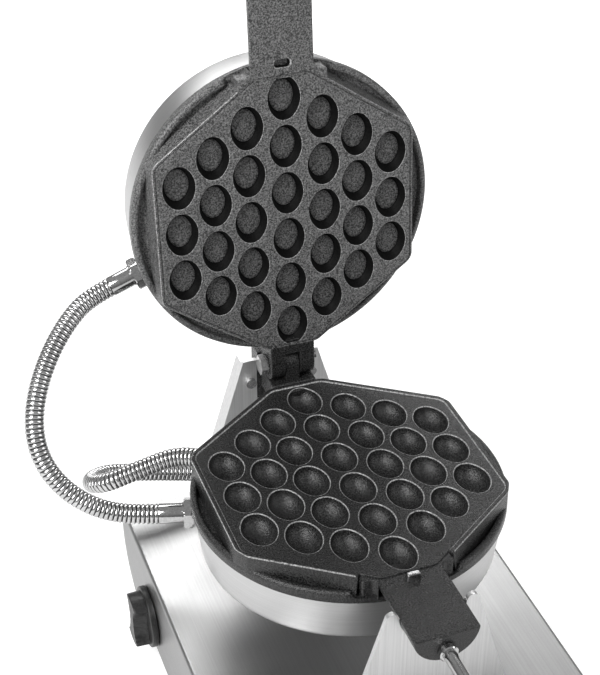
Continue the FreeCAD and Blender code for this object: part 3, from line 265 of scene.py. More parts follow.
def hose_piece(name, line):
    """A ribbed hose whose narrow gaps between the turns of strip get a dark steel as painted shade."""
    around = 32
    tube = ribbed_tube(line, 0.0062, 0.0053, 0.0028, around)
    hose = make_piece(name, [grid(tube, True)], conduit_steel, 60)
    hose.data.materials.append(gap_painted_shade)
    for face in hose.data.polygons:
        if face.index // around % len(rib_shares) in gap_rows:
            face.material_index = 1
    return hose


def conduit_line(name, route):
    """Points along a smooth spline whose control points are the route's, in metres."""
    curve = bpy.data.curves.new(name, "CURVE")
    curve.dimensions = "3D"
    curve.resolution_u = 40
    spline = curve.splines.new("NURBS")
    spline.points.add(len(route) - 1)
    for point, (x, y, z) in zip(spline.points, route):
        point.co = (x, y, z, 1)
    spline.order_u = 3
    spline.use_endpoint_u = True
    guide = bpy.data.objects.new(name, curve)
    scene.collection.objects.link(guide)
    line = bpy.data.meshes.new_from_object(guide)
    points = np.array([v.co for v in line.vertices])
    bpy.data.objects.remove(guide)
    bpy.data.meshes.remove(line)
    return points


def ribbed_tube(line, crest, root, pitch, around):
    """Circles square to a line; the radius rises from root to crest once in each pitch.

    Each circle's centre is found by length along the line, and its two directions are the
    product of the line's heading with the normal of the plane that the line mostly lies in."""
    step = np.linalg.norm(np.diff(line, axis=0), axis=1)
    walked = np.concatenate([[0], np.cumsum(step)])
    ribs = int(round(walked[-1] / pitch))
    width = walked[-1] / ribs
    places = (np.arange(ribs)[:, None] + rib_shares).ravel() * width
    radii = root + (crest - root) * np.tile(rib_heights, ribs)
    places = np.append(places, walked[-1])
    radii = np.append(radii, root)
    centre, ahead, behind = (
        np.stack([np.interp(places + shift, walked, line[:, k]) for k in range(3)], 1)
        for shift in (0, 1e-3, -1e-3))
    heading = ahead - behind
    heading /= np.linalg.norm(heading, axis=1)[:, None]
    plane = np.linalg.svd(line - line.mean(0))[2][2]
    side = np.cross(heading, plane)
    side /= np.linalg.norm(side, axis=1)[:, None]
    up = np.cross(heading, side)
    turn = np.linspace(0, 2 * np.pi, around, endpoint=False)
    ring = side[:, None] * np.cos(turn)[:, None] + up[:, None] * np.sin(turn)[:, None]
    return centre[:, None] + ring * radii[:, None, None]


conduit_steel = bright_metal("conduit_steel", 0.54, 0.74, 0.14, 0.26, 60.0)
# Painted shade: a dark copy of the hose steel, laid on the gaps between the turns for the shade that
# falls in them.
gap_painted_shade = bright_metal("conduit_gap_painted_shade", 0.05, 0.12, 0.35, 0.5, 60.0)

link_route = [(-0.11209, 0.05127, 0.140), (-0.12835, 0.05624, 0.140), (-0.1475, 0.0615, 0.146),
              (-0.1625, 0.0695, 0.156), (-0.1725, 0.079, 0.1685), (-0.1765, 0.0895, 0.182),
              (-0.1745, 0.101, 0.1965), (-0.167, 0.113, 0.211), (-0.156, 0.1245, 0.2245),
              (-0.1425, 0.135, 0.236), (-0.12679, 0.14608, 0.24303), (-0.11077, 0.14657, 0.24869)]
link_line = conduit_line("link_line", link_route)
link_hose = hose_piece("link_hose", link_line)
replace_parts(link_hose, "link_conduit")
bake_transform(link_hose)

supply_route = [(-0.06368, 0.1495, 0.08387), (-0.07996, 0.1495, 0.08876), (-0.105, 0.1535, 0.0925),
                (-0.121, 0.155, 0.095), (-0.134, 0.1455, 0.101), (-0.138, 0.129, 0.110),
                (-0.1305, 0.1155, 0.1195), (-0.1135, 0.112, 0.1265), (-0.07848, 0.11053, 0.135),
                (-0.06756, 0.09751, 0.135)]
supply_line = conduit_line("supply_line", supply_route)
supply_hose = hose_piece("supply_hose", supply_line)
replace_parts(supply_hose, "supply_conduit")
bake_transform(supply_hose)


# ---------------------------------------------------------------- Lower plate
# A thick round casting in aluminium with a near-black, finely speckled non-stick coating. Its raised
# eight-sided face has thirty egg bowls and a lip; the handle's half-round bracket is part of it.
def oval(half_length, half_width, count=40):
    """Points of an oval along Y of four tangent arcs: each is a centre plus a radius times a heading."""
    end_radius = 0.77 * half_width
    end_place = half_length - end_radius
    extra = half_width - end_radius
    side_centre = (end_place ** 2 - extra ** 2) / (2 * extra)
    lean = math.atan2(side_centre, end_place)
    heading = np.linspace(0, 2 * np.pi, count, endpoint=False)
    across = np.cos(heading)
    along = np.sin(heading)
    at_end = np.abs(across) < math.sin(lean)
    x = np.where(at_end, end_radius * across, np.sign(across) * -side_centre
                 + (side_centre + half_width) * across)
    y = np.where(at_end, np.sign(along) * end_place + end_radius * along,
                 (side_centre + half_width) * along)
    return np.stack([x, y], 1)


def egg_places():
    """Seven columns of 3 to 6 cavities, 31 mm apart and staggered by half a pitch."""
    pitch, first_column, column_step = 31.0, 24.1, 22.2
    places = []
    for column, count in enumerate([6, 5, 4, 3]):
        x = 0 if column == 0 else first_column + (column - 1) * column_step
        for side in ((1,) if column == 0 else (-1, 1)):
            places += [(side * x, (row - (count - 1) / 2) * pitch) for row in range(count)]
    return np.array(places)


corner_radius = 9.0
rim_reach = 97.4


def face_path(steps=7):
    """The face's outline as centres and headings.

    A point at an offset from it is centre + (corner radius + offset) * heading. It runs from the
    right rib's square end round the back to the left one's, then along the front."""
    side_x, side_y, end_x, end_y = 84.2, 46.5, 17, 93.5
    rib_stop_x = 28.7
    corners = np.array([(end_x, -end_y), (side_x, -side_y), (side_x, side_y), (end_x, end_y),
                        (-end_x, end_y), (-side_x, side_y), (-side_x, -side_y), (-end_x, -end_y)])
    after = np.roll(corners, -1, 0) - corners
    after /= np.linalg.norm(after, axis=1)[:, None]
    out_after = np.stack([after[:, 1], -after[:, 0]], 1)
    out_before = np.roll(out_after, 1, 0)
    middle = out_after + out_before
    middle /= np.linalg.norm(middle, axis=1)[:, None]
    centre = corners - middle * (corner_radius / (middle * out_after).sum(1))[:, None]
    start = np.arctan2(out_before[:, 1], out_before[:, 0])
    turn = np.arctan2(out_after[:, 1], out_after[:, 0]) - start
    turn = (turn + np.pi) % (2 * np.pi) - np.pi
    angle = start[:, None] + turn[:, None] * np.linspace(0, 1, steps)
    heading = np.stack([np.cos(angle), np.sin(angle)], 2)
    centres = np.repeat(centre[:, None], steps, 1)
    slope = (end_y - side_y) / (side_x - end_x)
    right = np.array([rib_stop_x, -side_y - (side_x - rib_stop_x) * slope])
    rib_centre = right - corner_radius * out_after[0]
    left_centre = rib_centre * [-1, 1]
    left_heading = out_after[0] * [-1, 1]
    rib = (np.vstack([rib_centre, centres[1:7].reshape(-1, 2), left_centre]),
           np.vstack([out_after[0], heading[1:7].reshape(-1, 2), left_heading]))
    front = (np.vstack([left_centre, centres[7], centres[0], rib_centre]),
             np.vstack([left_heading, heading[7], heading[0], out_after[0]]))
    return rib, front


rib_path, front_path = face_path()


def carried(path, profile):
    """A surface: a profile of (offset, height) carried along the outline and kept inside the rim."""
    centre, heading = path
    offset, height = np.array(profile, float).T
    plan = centre[None] + (corner_radius + offset)[:, None, None] * heading[None]
    plan = plan * np.minimum(1, rim_reach / np.linalg.norm(plan, axis=2))[:, :, None]
    tall = np.broadcast_to(height[:, None, None], plan.shape[:2] + (1,))
    return grid(np.concatenate([plan, tall], 2)[:, ::-1])


def flat(ring, order=1):
    """One flat face over a ring of points; the order -1 turns it over."""
    return ring, [tuple(range(len(ring)))[::order]]


def rib_end(path, profile, side):
    """The rounded square end of a rib: its profile moves on, sinks and narrows along a quarter turn."""
    half_width, reach, narrowing, lowest_sunk = 3.2, 1.3, 0.3, -6
    centre, heading = path
    k = 0 if side > 0 else -1
    onward = np.array([heading[k, 1], -heading[k, 0]]) * side
    turn = np.linspace(0, np.pi / 2, 5)[:, None]
    offset, height = np.array(profile, float).T
    bend = 1 - np.cos(turn)
    middle = offset[0] + half_width
    narrowed = middle + (offset - middle) * (1 - narrowing * bend)
    sunk = np.where(height > lowest_sunk, height - reach * bend, height)
    plan = (centre[k] + (corner_radius + narrowed[..., None]) * heading[k]
            + (reach * np.sin(turn))[..., None] * onward)
    rows = np.concatenate([plan, sunk[..., None]], 2)
    return [grid(rows), flat(rows[-1])]


def filled(outline, holes, height):
    """A flat sheet at a height between an outline and its holes."""
    loops = [np.column_stack([loop, np.full(len(loop), height)]) for loop in [outline] + holes]
    points = np.vstack(loops)
    triangles = tessellate_polygon([[Vector(p) for p in loop] for loop in loops])
    faces = []
    for a, b, c in triangles:
        u = points[b] - points[a]
        v = points[c] - points[a]
        faces.append((a, b, c) if u[0] * v[1] - u[1] * v[0] > 0 else (a, c, b))
    return points, faces


def level_ovals(place, rings):
    """Rows of ovals of (half length, half width, height) about one place."""
    outlines = [oval(long, wide) for long, wide, z in rings]
    rows = [np.column_stack([outline, np.full(len(outline), ring[2])])
            for outline, ring in zip(outlines, rings)]
    return np.array(rows) + [*place, 0]


def open_rings(places, rings):
    """The wall between the ovals at each place, open above and below."""
    return [grid(level_ovals(place, rings), True) for place in places]


def cavity(places, rings):
    """Bowls or cups: the wall between the ovals at each place, closed at its last oval."""
    surfaces = []
    for place in places:
        rows = level_ovals(place, rings)
        surfaces += [grid(rows, True), fan(rows[-1])]
    return surfaces


bracket_radius = 20.0
bracket_top = -1.0
bracket_root = 93.0
bracket_end = 146.0
edge_round = 0.8
end_round = 1.2


def half_round(inset):
    """Half of a round bar, cut flat 1 mm below its axis, with rounded corners; drawn in by inset."""
    corner = max(edge_round - inset, 0.02)
    corner_z = bracket_top - edge_round
    corner_x = math.sqrt((bracket_radius - edge_round) ** 2 - corner_z ** 2)
    low = math.atan2(corner_z, corner_x)
    turn = np.linspace(np.pi / 2, low, 5)
    right = np.stack([corner_x + corner * np.cos(turn), corner_z + corner * np.sin(turn)], 1)
    around = np.linspace(low, -np.pi - low, 41)[1:-1]
    bottom = (bracket_radius - inset) * np.stack([np.cos(around), np.sin(around)], 1)
    left = (right * [-1, 1])[::-1]
    return np.vstack([right, bottom, left])


shoulder_plan = np.array([(28.5, -84.6), (28.5, -91.0), (28.39, -91.57), (28.06, -92.06),
                          (27.57, -92.39), (27.0, -92.5), (24.0, -92.5), (22.47, -92.80),
                          (21.17, -93.67), (20.30, -94.97), (20.0, -96.5)])
shoulder_out = np.array([(1, 0), (1, 0), (0.92, -0.38), (0.71, -0.71), (0.38, -0.92), (0, -1), (0, -1),
                         (0.38, -0.92), (0.71, -0.71), (0.92, -0.38), (1, 0)])
round_edge = [(0.8, -1.0), (0.49, -1.06), (0.23, -1.23), (0.06, -1.49), (0.0, -1.8), (0.0, -14.0)]


def bracket_surfaces(inner_offset, holes):
    """The bracket's flat top with its shoulders, the round underside, and the rounded far end."""
    drawn_in = shoulder_plan - edge_round * shoulder_out
    right = np.vstack([drawn_in, [(half_round(0)[0, 0], end_round - bracket_end)]])
    left = (right * [-1, 1])[::-1]
    centre, heading = front_path
    inner = centre + (corner_radius + inner_offset) * heading
    top = filled(np.vstack([inner, right, left]), holes, bracket_top)
    walls = []
    for side in (1, -1):
        rows = np.array([np.column_stack([(shoulder_plan - inset * shoulder_out) * [side, 1],
                                          np.full(len(shoulder_plan), z)]) for inset, z in round_edge])
        walls.append(grid(rows[:, ::-1] if side > 0 else rows))
    sections = [(0, -bracket_root), (0, end_round - bracket_end)]
    sections += [(end_round * (1 - math.cos(turn)), end_round * (1 - math.sin(turn)) - bracket_end)
                 for turn in np.linspace(0, np.pi / 2, 6)[1:]]
    bar = []
    for inset, y in sections:
        x, z = half_round(inset).T
        bar.append(np.column_stack([x, np.full(len(x), y), z]))
    bar = np.array(bar)
    lid = np.stack([bar[1:, 0], bar[1:, -1]], 1)
    return [top, grid(bar[:, ::-1]), grid(lid), flat(bar[-1], -1)] + walls


def rim_surface(profile, count=240):
    """A profile of (radius, height) turned about Z; beside the bracket its top is cut down.

    The height that it may have rises by 5 mm as three times the square less twice the cube of the
    share of the angle from where the cut ends."""
    cut_height, cut_end, cut_fade, rise = -12.5, 19.4, 0.9, 5
    radius, height = np.array(profile, float).T
    angle = np.linspace(0, 2 * np.pi, count, endpoint=False)
    x = radius[:, None] * np.sin(angle)
    y = -radius[:, None] * np.cos(angle)
    from_front = np.degrees(np.abs((angle + np.pi) % (2 * np.pi) - np.pi))
    free = np.clip((from_front - cut_end) / cut_fade, 0, 1)
    z = np.minimum(height[:, None], cut_height + rise * free * free * (3 - 2 * free))
    return grid(np.stack([x, y, z], 2)[:, ::-1], True)


rim_profile = [(80, -13.5), (91.6, -13.5), (92.6, -13.2), (93.0, -12.4), (93.1, -10.2), (93.5, -9.4),
               (94.2, -9.0), (95.2, -9.02), (96.2, -9.35), (97.0, -10.1), (97.45, -11.2),
               (97.5, -12.2), (97.5, -15.9), (97.3, -16.4), (96.8, -16.5), (92.0, -16.5)]
pan_place = np.array([0, 0.017, 0.168])


def in_pan(surfaces):
    """From millimetres about the pan's centre to metres in the frame."""
    return [(np.asarray(points) / 1000 + pan_place, faces) for points, faces in surfaces]


def speckle_group():
    """Fine grains of a sprayed coating: bright and dark dots, with a pebbled normal."""
    group, taken, given = effect_group("speckle", [("Grain", "Float", 1100.0), ("Depth", "Float", 0.25)],
                                       [("Dots", "Float"), ("Patches", "Float"), ("Normal", "Vector")])
    where = add(group, "ShaderNodeTexCoord")
    dots = add(group, "ShaderNodeTexNoise", Vector=where.outputs["Object"],
               Scale=taken.outputs["Grain"], Detail=3.0, Roughness=0.7)
    patches = add(group, "ShaderNodeTexNoise", Vector=where.outputs["Object"], Scale=55.0, Detail=3.0)
    bump = add(group, "ShaderNodeBump", Strength=taken.outputs["Depth"], Distance=0.0004,
               Height=dots.outputs["Fac"])
    group.links.new(mapped(group, dots.outputs["Fac"], 0.40, 0.66), given.inputs["Dots"])
    group.links.new(patches.outputs["Fac"], given.inputs["Patches"])
    group.links.new(bump.outputs["Normal"], given.inputs["Normal"])
    return group


speckle = speckle_group()


def coating(name, dark, light, rough_low, rough_high, depth, grain=1000.0, level=0.5):
    """A satin sprayed coating: speckled colour, roughness that wanders in patches, fine pebbles."""
    material = new_material(name)
    tree = material.node_tree
    grains = use_group(tree, speckle, Grain=grain, Depth=depth)
    surface(tree, mixed(tree, grains.outputs["Dots"], dark, light),
            mapped(tree, grains.outputs["Patches"], 0.3, 0.7, rough_low, rough_high),
            Normal=grains.outputs["Normal"], Specular_IOR_Level=level)
    return material


lower_coat = coating("black_coating", 0.003, 0.048, 0.18, 0.30, 1.0)

bowl_rings = ([(14.9, 11.2, 0.0), (14.6, 10.9, -0.05), (14.38, 10.68, -0.22), (14.27, 10.57, -0.5)]
              + [(14.24 * math.cos(a), 10.54 * math.cos(a), -0.6 - 9.9 * math.sin(a))
                 for a in np.radians([4, 12, 21, 30, 39, 48, 57, 66, 74, 81])])
lip_profile = [(-0.6, 0), (0.0, 0.0), (0.3, 0.08), (0.5, 0.3), (0.65, 0.65), (0.9, 0.92), (1.3, 1.0),
               (2.5, 1.0), (2.95, 0.88), (3.2, 0.55), (3.3, 0.0), (5.25, -11.9), (5.6, -12.9),
               (6.3, -13.4), (7.3, -13.5)]
step_profile = [(-0.6, 0), (-0.3, -0.04), (-0.1, -0.2), (0.0, -0.45), (0.0, -1.2)]

centres, headings = [np.vstack([rib_path[k][:-1], front_path[k][:-1]]) for k in (0, 1)]
face_loop = centres + (corner_radius + lip_profile[0][0]) * headings
places = egg_places()
mouth = oval(*bowl_rings[0][:2])
lower_surfaces = [filled(face_loop, [mouth + p for p in places], 0.0)]
lower_surfaces += cavity(places, bowl_rings[3:])
lower_surfaces += [carried(rib_path, part)
                   for part in (lip_profile[:2], lip_profile[4:9], lip_profile[10:])]
lower_surfaces.append(carried(front_path, step_profile))
lower_surfaces += rib_end(rib_path, lip_profile, 1) + rib_end(rib_path, lip_profile, -1)
lower_surfaces.append(rim_surface(rim_profile))
under_step = -0.3
lower_surfaces += bracket_surfaces(under_step, [])
# Painted highlight: the bowls' rims and the rounded lip edges get a lighter copy of the coating for the
# lamps' highlights on them; the upper cups' rims, margin edge and slot rim get it too.
lower_edges = open_rings(places, bowl_rings[:4])
lower_edges += [carried(rib_path, part) for part in (lip_profile[1:5], lip_profile[8:11])]
painted_highlight_coat = coating("painted_highlight_edge_coating", 0.12, 0.52, 0.14, 0.26, 0.15)
highlight_edges = make_piece("lower_edges", in_pan(lower_edges), painted_highlight_coat)
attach(highlight_edges, "lower_pan")
lower_casting = make_piece("lower_casting", in_pan(lower_surfaces), lower_coat)
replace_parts(lower_casting, "lower_plate")
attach(lower_casting, "lower_pan")


# ---------------------------------------------------------------- Base housing
# A low box folded from stainless sheet, brushed along its length, on a bottom flange. The notched
# cradle in front and the notched bracket behind are screwed to its top.
def brushed_group():
    """Long hair lines: noise stretched along one axis, as a value and as a bumped normal."""
    group, taken, given = effect_group(
        "hair_lines", [("Stretch", "Vector", (900.0, 6.0, 900.0)), ("Depth", "Float", 0.2)],
        [("Line", "Float"), ("Normal", "Vector")])
    where = add(group, "ShaderNodeTexCoord")
    long_way = add(group, "ShaderNodeVectorMath", where.outputs["Object"], taken.outputs["Stretch"],
                   operation="MULTIPLY")
    noise = add(group, "ShaderNodeTexNoise", Vector=long_way.outputs[0], Scale=1.0, Detail=5.0,
                Roughness=0.75)
    bump = add(group, "ShaderNodeBump", Strength=taken.outputs["Depth"], Distance=0.0002,
               Height=noise.outputs["Fac"])
    group.links.new(noise.outputs["Fac"], given.inputs["Line"])
    group.links.new(bump.outputs["Normal"], given.inputs["Normal"])
    return group


hair_lines = brushed_group()


def brushed_steel(name, stretch, dark, light, rough_low, rough_high, depth):
    """Stainless sheet with hair lines in its colour and surface, and a roughness with the smudges."""
    material = new_material(name)
    tree = material.node_tree
    lines = use_group(tree, hair_lines, Stretch=stretch, Depth=depth)
    smudge = use_group(tree, steel_smudges, Size=9.0)
    surface(tree, mixed(tree, mapped(tree, lines.outputs["Line"], 0.3, 0.7), dark, light),
            mapped(tree, smudge.outputs["Mask"], 0.0, 1.0, rough_low, rough_high),
            Normal=lines.outputs["Normal"], Metallic=1.0)
    return material


def dress(names, material):
    """Gives CAD nodes a material in place of their own."""
    for name in names:
        slots = nodes[name].data.materials
        slots.clear()
        slots.append(material)


dress(["base_housing", "bottom_plate"],
      brushed_steel("brushed_stainless", (900, 6, 900), 0.36, 0.42, 0.34, 0.46, 0.05))
# Painted reflection: the cradle and the rear bracket are of the same stainless as the box, painted
# lighter for the bright reflections on them.
dress(["front_cradle"],
      brushed_steel("support_stainless_painted_sheen", (900, 900, 8), 0.62, 0.80, 0.34, 0.48, 0.10))
dress(["rear_bracket"],
      brushed_steel("bracket_stainless_painted_sheen", (900, 900, 8), 0.78, 0.95, 0.46, 0.60, 0.15))
dress(["support_screws", "foot_screws", "bearing_bolts", "lower_shell_screws", "upper_shell_screws",
       "hinge_pin", "hinge_clip", "thermostat_shaft"],
      bright_metal("bright_steel", 0.42, 0.68, 0.16, 0.30, 40.0))


# ---------------------------------------------------------------- Lower hinge arm and lug
# The arm behind the lower casting carries the hinge's middle eye and ends in a collar and the rear
# journal. The lug on the bracket finds the slot of the other plate. Cast in one with the plate.
def slab(outline, low, high, axis):
    """A closed outline of (u, v) carried along X or Y, between two places, with flat ends."""
    u, v = np.array(outline, float).T
    ends = []
    for place in (low, high):
        across = np.full(len(u), float(place))
        ends.append(np.column_stack((across, u, v) if axis == "X" else (u, across, v)))
    return [grid(np.array(ends), True), flat(ends[0], -1), flat(ends[1])]


def round_outline(radius, centre, count=48):
    """Points of a circle: the centre plus the radius times the cosine and sine of each turn."""
    turn = np.linspace(0, 2 * np.pi, count, endpoint=False)
    return np.stack([centre[0] + radius * np.cos(turn), centre[1] + radius * np.sin(turn)], 1)


def tapered(outline, place, steps):
    """Rows of an outline drawn in about a place, for each (share, height)."""
    return np.array([np.column_stack([(outline - place) * share + place, np.full(len(outline), z)])
                     for share, z in steps])


def eased(piece, width):
    """Rounds a piece's sharp edges with a narrow bevel."""
    bevel = piece.modifiers.new("eased_edges", "BEVEL")
    bevel.width = width
    bevel.segments = 3
    bevel.limit_method = "ANGLE"
    bevel.angle_limit = math.radians(40)
    return piece


def facing_out(piece):
    """Turns the faces of a closed piece outwards."""
    work = bmesh.new()
    work.from_mesh(piece.data)
    bmesh.ops.recalc_face_normals(work, faces=work.faces)
    work.to_mesh(piece.data)
    work.free()
    return piece


def coated(name, surfaces, place, body, material, width):
    """A cast piece with eased edges that a place function brings into the frame, on its body."""
    piece = make_piece(name, place(surfaces), material)
    facing_out(piece)
    eased(piece, width)
    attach(piece, body)
    return piece


hinge = np.array([109.5, 11.9])
arm = [(90.0, -14.0), (121.5, -14.0), (121.5, 1.1), (97.5, 1.1), (97.0, -0.2), (90.0, -0.2)]
coated("lower_arm", slab(arm, -15, 15, "X"), in_pan, "lower_pan", lower_coat, 0.0008)
coated("lower_collar", slab(round_outline(12.0, (0, 0)), 121.4, 124.3, "Y"), in_pan, "lower_pan",
       lower_coat, 0.0005)
eye_radius = 9.5
eye_foot = 0.8
eye = np.vstack([(hinge[0] + eye_radius, eye_foot), (hinge[0] + eye_radius, hinge[1]),
                 round_outline(eye_radius, hinge)[1:24],
                 (hinge[0] - eye_radius, hinge[1]), (hinge[0] - eye_radius, eye_foot)])
coated("lower_eye", slab(eye, -4.7, 4.7, "X"), in_pan, "lower_pan", lower_coat, 0.0005)
# The lug is given light bare metal, lighter than the coated casting around it.
lug_metal = bright_metal("lug_light_metal", 0.22, 0.62, 0.22, 0.36, 220.0)
lug_place = np.array([0.0, -99.0])
lug_plan = lug_place + [(-4.5, -2), (4.5, -2), (4.5, 2), (-4.5, 2)]
lug = tapered(lug_plan, lug_place, ((1.0, -1.4), (0.86, 3.4)))
coated("lower_lug", [grid(lug, True), flat(lug[1]), flat(lug[0], -1)], in_pan, "lower_pan",
       lug_metal, 0.0007)
journal_steel = bright_metal("journal_steel", 0.30, 0.46, 0.25, 0.40, 60.0)
journal = make_piece("rear_journal", in_pan(slab(round_outline(9.0, (0, 0)), 124.0, 137.0, "Y")),
                     journal_steel)
eased(facing_out(journal), 0.0006)
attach(journal, "lower_pan")


# ---------------------------------------------------------------- Upper plate
# The same casting turned over: its cups are shallower with flat rough floors, its face stands on a
# fine step line, the bracket has the slot for the lug, and two ears and a heel carry the hinge.
open_turn = math.radians(-95)
shut_gap = 0.3


def lid_open(points):
    """Shut-lid millimetres about the pan's centre, swung up about the hinge, to metres in the frame."""
    x, y, z = np.asarray(points, float).T
    dy = y - hinge[0]
    dz = z - hinge[1]
    swung = np.column_stack([x, hinge[0] + dy * math.cos(open_turn) - dz * math.sin(open_turn),
                             hinge[1] + dy * math.sin(open_turn) + dz * math.cos(open_turn)])
    return swung / 1000 + pan_place


def on_lid(surfaces):
    """Surfaces in the shut lid's millimetres, in the frame with the lid open."""
    return [(lid_open(points), faces) for points, faces in surfaces]


def turned_over(surfaces):
    """Cooking side up to cooking side down: z becomes the gap less z, and the faces are wound back."""
    return [(lid_open(np.asarray(points) * [1, 1, -1] + [0, 0, shut_gap]), [f[::-1] for f in faces])
            for points, faces in surfaces]


# Painted sheen: the upper casting has the same near-black coating as the lower one, painted a lighter
# grey on its face and cup floors for the light that the coating reflects.
upper_painted_sheen_coat = coating("upper_coating_painted_sheen", 0.016, 0.260, 0.26, 0.38, 0.9)
# Painted shade: the cup walls and the slot's wall get a near-black, duller copy of the coating for the
# shade inside them.
cup_wall_painted_shade = coating("cup_wall_painted_shade_coating", 0.001, 0.006, 0.52, 0.66, 0.25, level=0.15)
cup_floor = coating("cup_floor_painted_sheen_coating", 0.010, 0.220, 0.46, 0.6, 1.0)

cup_edge = [(14.25, 10.75, 0.0), (14.1, 10.6, -0.03), (13.98, 10.48, -0.13), (13.95, 10.45, -0.3)]
cup_side = [(13.95, 10.45, -0.3), (13.2, 9.85, -2.0), (12.1, 9.1, -4.0), (11.2, 8.4, -5.7),
            (10.9, 8.15, -6.15), (10.5, 7.85, -6.25)]
cup_base = [(10.5, 7.85, -6.25), (10.35, 7.72, -5.95), (10.1, 7.5, -5.8), (8.5, 6.2, -5.7),
            (6.0, 4.4, -5.6), (3.0, 2.2, -5.5), (1.0, 0.75, -5.48)]

slot_straight = 2.6
slot_turn = np.linspace(0, 2 * np.pi, 28, endpoint=False)
slot_x = np.sign(np.cos(slot_turn)) * slot_straight + 2.5 * np.cos(slot_turn)
slot_outline = lug_place + np.stack([slot_x, 2.6 * np.sin(slot_turn)], 1)
slot_rows = tapered(slot_outline, lug_place,
                    ((1.16, -1.0), (1.06, -1.15), (1.0, -1.6), (0.98, -4.4), (0.9, -4.8), (0.4, -4.7)))
step_line = [(-3.2, 0), (-2.75, -0.03), (-2.45, -0.2), (-2.35, -0.5), (-2.3, -1.25), (-2.1, -1.45),
             (-1.85, -1.4), (-1.7, -1.1), (-1.5, -1.0)]
margin_profile = [(-1.5, -1.0), (-0.8, -1.0), (-0.4, -1.06), (-0.12, -1.3), (0.0, -1.7), (2.2, -11.9),
                  (2.6, -12.9), (3.3, -13.4), (4.4, -13.5)]
upper_loop = centres + (corner_radius + step_line[0][0]) * headings
closed_path = (np.vstack([centres, centres[:1]]), np.vstack([headings, headings[:1]]))
cup_mouth = oval(*cup_edge[0][:2])
upper_surfaces = [filled(upper_loop, [cup_mouth + p for p in places], 0.0),
                  carried(closed_path, step_line)]
upper_surfaces += [carried(rib_path, part) for part in (margin_profile[:3], margin_profile[4:])]
upper_surfaces += rib_end(rib_path, margin_profile, 1) + rib_end(rib_path, margin_profile, -1)
upper_surfaces.append(rim_surface(rim_profile))
upper_surfaces += bracket_surfaces(margin_profile[0][0], [slot_rows[0][:, :2]])
upper_surfaces += [grid(slot_rows[4:], True), fan(slot_rows[-1])]
upper_edges = open_rings(places, cup_edge)
upper_edges += [grid(slot_rows[:3], True), carried(rib_path, margin_profile[2:5])]
painted_shade_walls = open_rings(places, cup_side) + [grid(slot_rows[2:5], True)]
upper_pieces = [make_piece(name, turned_over(surfaces), look) for name, surfaces, look in (
    ("upper_edges", upper_edges, painted_highlight_coat), ("upper_casting", upper_surfaces, upper_painted_sheen_coat),
    ("upper_cup_walls", painted_shade_walls, cup_wall_painted_shade),
    ("upper_cup_floors", cavity(places, cup_base), cup_floor))]
upper_casting = upper_pieces[1]
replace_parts(upper_casting, "upper_plate")
for piece in upper_pieces:
    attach(piece, "upper_pan")

ear_heel = [(hinge[0], 22.4), (99.0, 22.4), (96.9, 16.5), (89.0, 16.5), (89.0, 1.4), (hinge[0], 1.4)]
ear_radius = 10.5
barrel = [(hinge[0] + ear_radius * math.cos(a), hinge[1] + ear_radius * math.sin(a))
          for a in np.linspace(-np.pi / 2, math.radians(5), 16)[1:]]
ear = ear_heel + barrel + [(119.52, 17.8)]
for label, low, high in (("left", -15, -5), ("right", 5, 15)):
    coated("hinge_ear_" + label, slab(ear, low, high, "X"), on_lid, "upper_pan", lower_coat, 0.0008)
web = [(89.0, 1.4), (99.4, 1.4), (99.4, 22.0), (98.6, 22.0), (96.9, 16.5), (89.0, 16.5)]
coated("hinge_web", slab(web, -5, 5, "X"), on_lid, "upper_pan", lower_coat, 0.0006)


# ---------------------------------------------------------------- Steel shells
# Each casting's back sits in a cup spun from thin steel, with fine turning lines round it, a rolled
# lip under the casting's rim and a soft lower edge.
def turning_lines(name, centre, tilt, dark, light):
    """Spun steel: hair lines that circle the cup's axis, from the height along that axis."""
    material = new_material(name)
    tree = material.node_tree
    where = add(tree, "ShaderNodeTexCoord")
    turned = add(tree, "ShaderNodeMapping", where.outputs["Object"], vector_type="TEXTURE",
                 Location=centre, Rotation=(tilt, 0, 0))
    stretch = add(tree, "ShaderNodeVectorMath", turned.outputs[0], (9, 9, 1500), operation="MULTIPLY")
    lines = add(tree, "ShaderNodeTexNoise", Vector=stretch.outputs[0], Scale=1.0, Detail=4.0,
                Roughness=0.7)
    bump = add(tree, "ShaderNodeBump", Strength=0.12, Distance=0.0002, Height=lines.outputs["Fac"])
    smudge = use_group(tree, steel_smudges, Size=14.0)
    surface(tree, mixed(tree, lines.outputs["Fac"], dark, light),
            mapped(tree, smudge.outputs["Mask"], 0.0, 1.0, 0.30, 0.42),
            Normal=bump.outputs["Normal"], Metallic=1.0)
    return material


corner_turn = np.linspace(0, np.pi / 2, 8)
shell_profile = ([(94.6, -16.6), (95.3, -16.55), (95.95, -16.8), (96.0, -17.4)]
                 + [(88.0 + 4.6 * math.cos(a), -45.4 - 4.6 * math.sin(a)) for a in corner_turn]
                 + [(60.0, -50.0), (20.0, -50.0), (3.0, -50.0)])


def spun(profile, count=160):
    """A profile of (radius, height) turned about Z, closed at its last point."""
    radius, height = np.array(profile, float).T
    turn = np.linspace(0, 2 * np.pi, count, endpoint=False)
    rows = np.stack([radius[:, None] * np.cos(turn), radius[:, None] * np.sin(turn),
                     np.broadcast_to(height[:, None], (len(radius), count))], 2)
    return [grid(rows[::-1], True), fan(rows[-1][::-1])]


lid_centre = tuple(lid_open([(0, 0, 0)])[0])
for name, place, node, body, centre, tilt, dark, light in (
        ("lower_cup", in_pan, "lower_shell", "lower_pan", tuple(pan_place), 0.0, 0.50, 0.72),
        ("upper_cup", turned_over, "upper_shell", "upper_pan", lid_centre, open_turn, 0.58, 0.78)):
    steel = turning_lines(name + "_steel", centre, tilt, dark, light)
    cup = make_piece(name, place(spun(shell_profile)), steel, 50)
    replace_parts(cup, node)
    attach(cup, body)


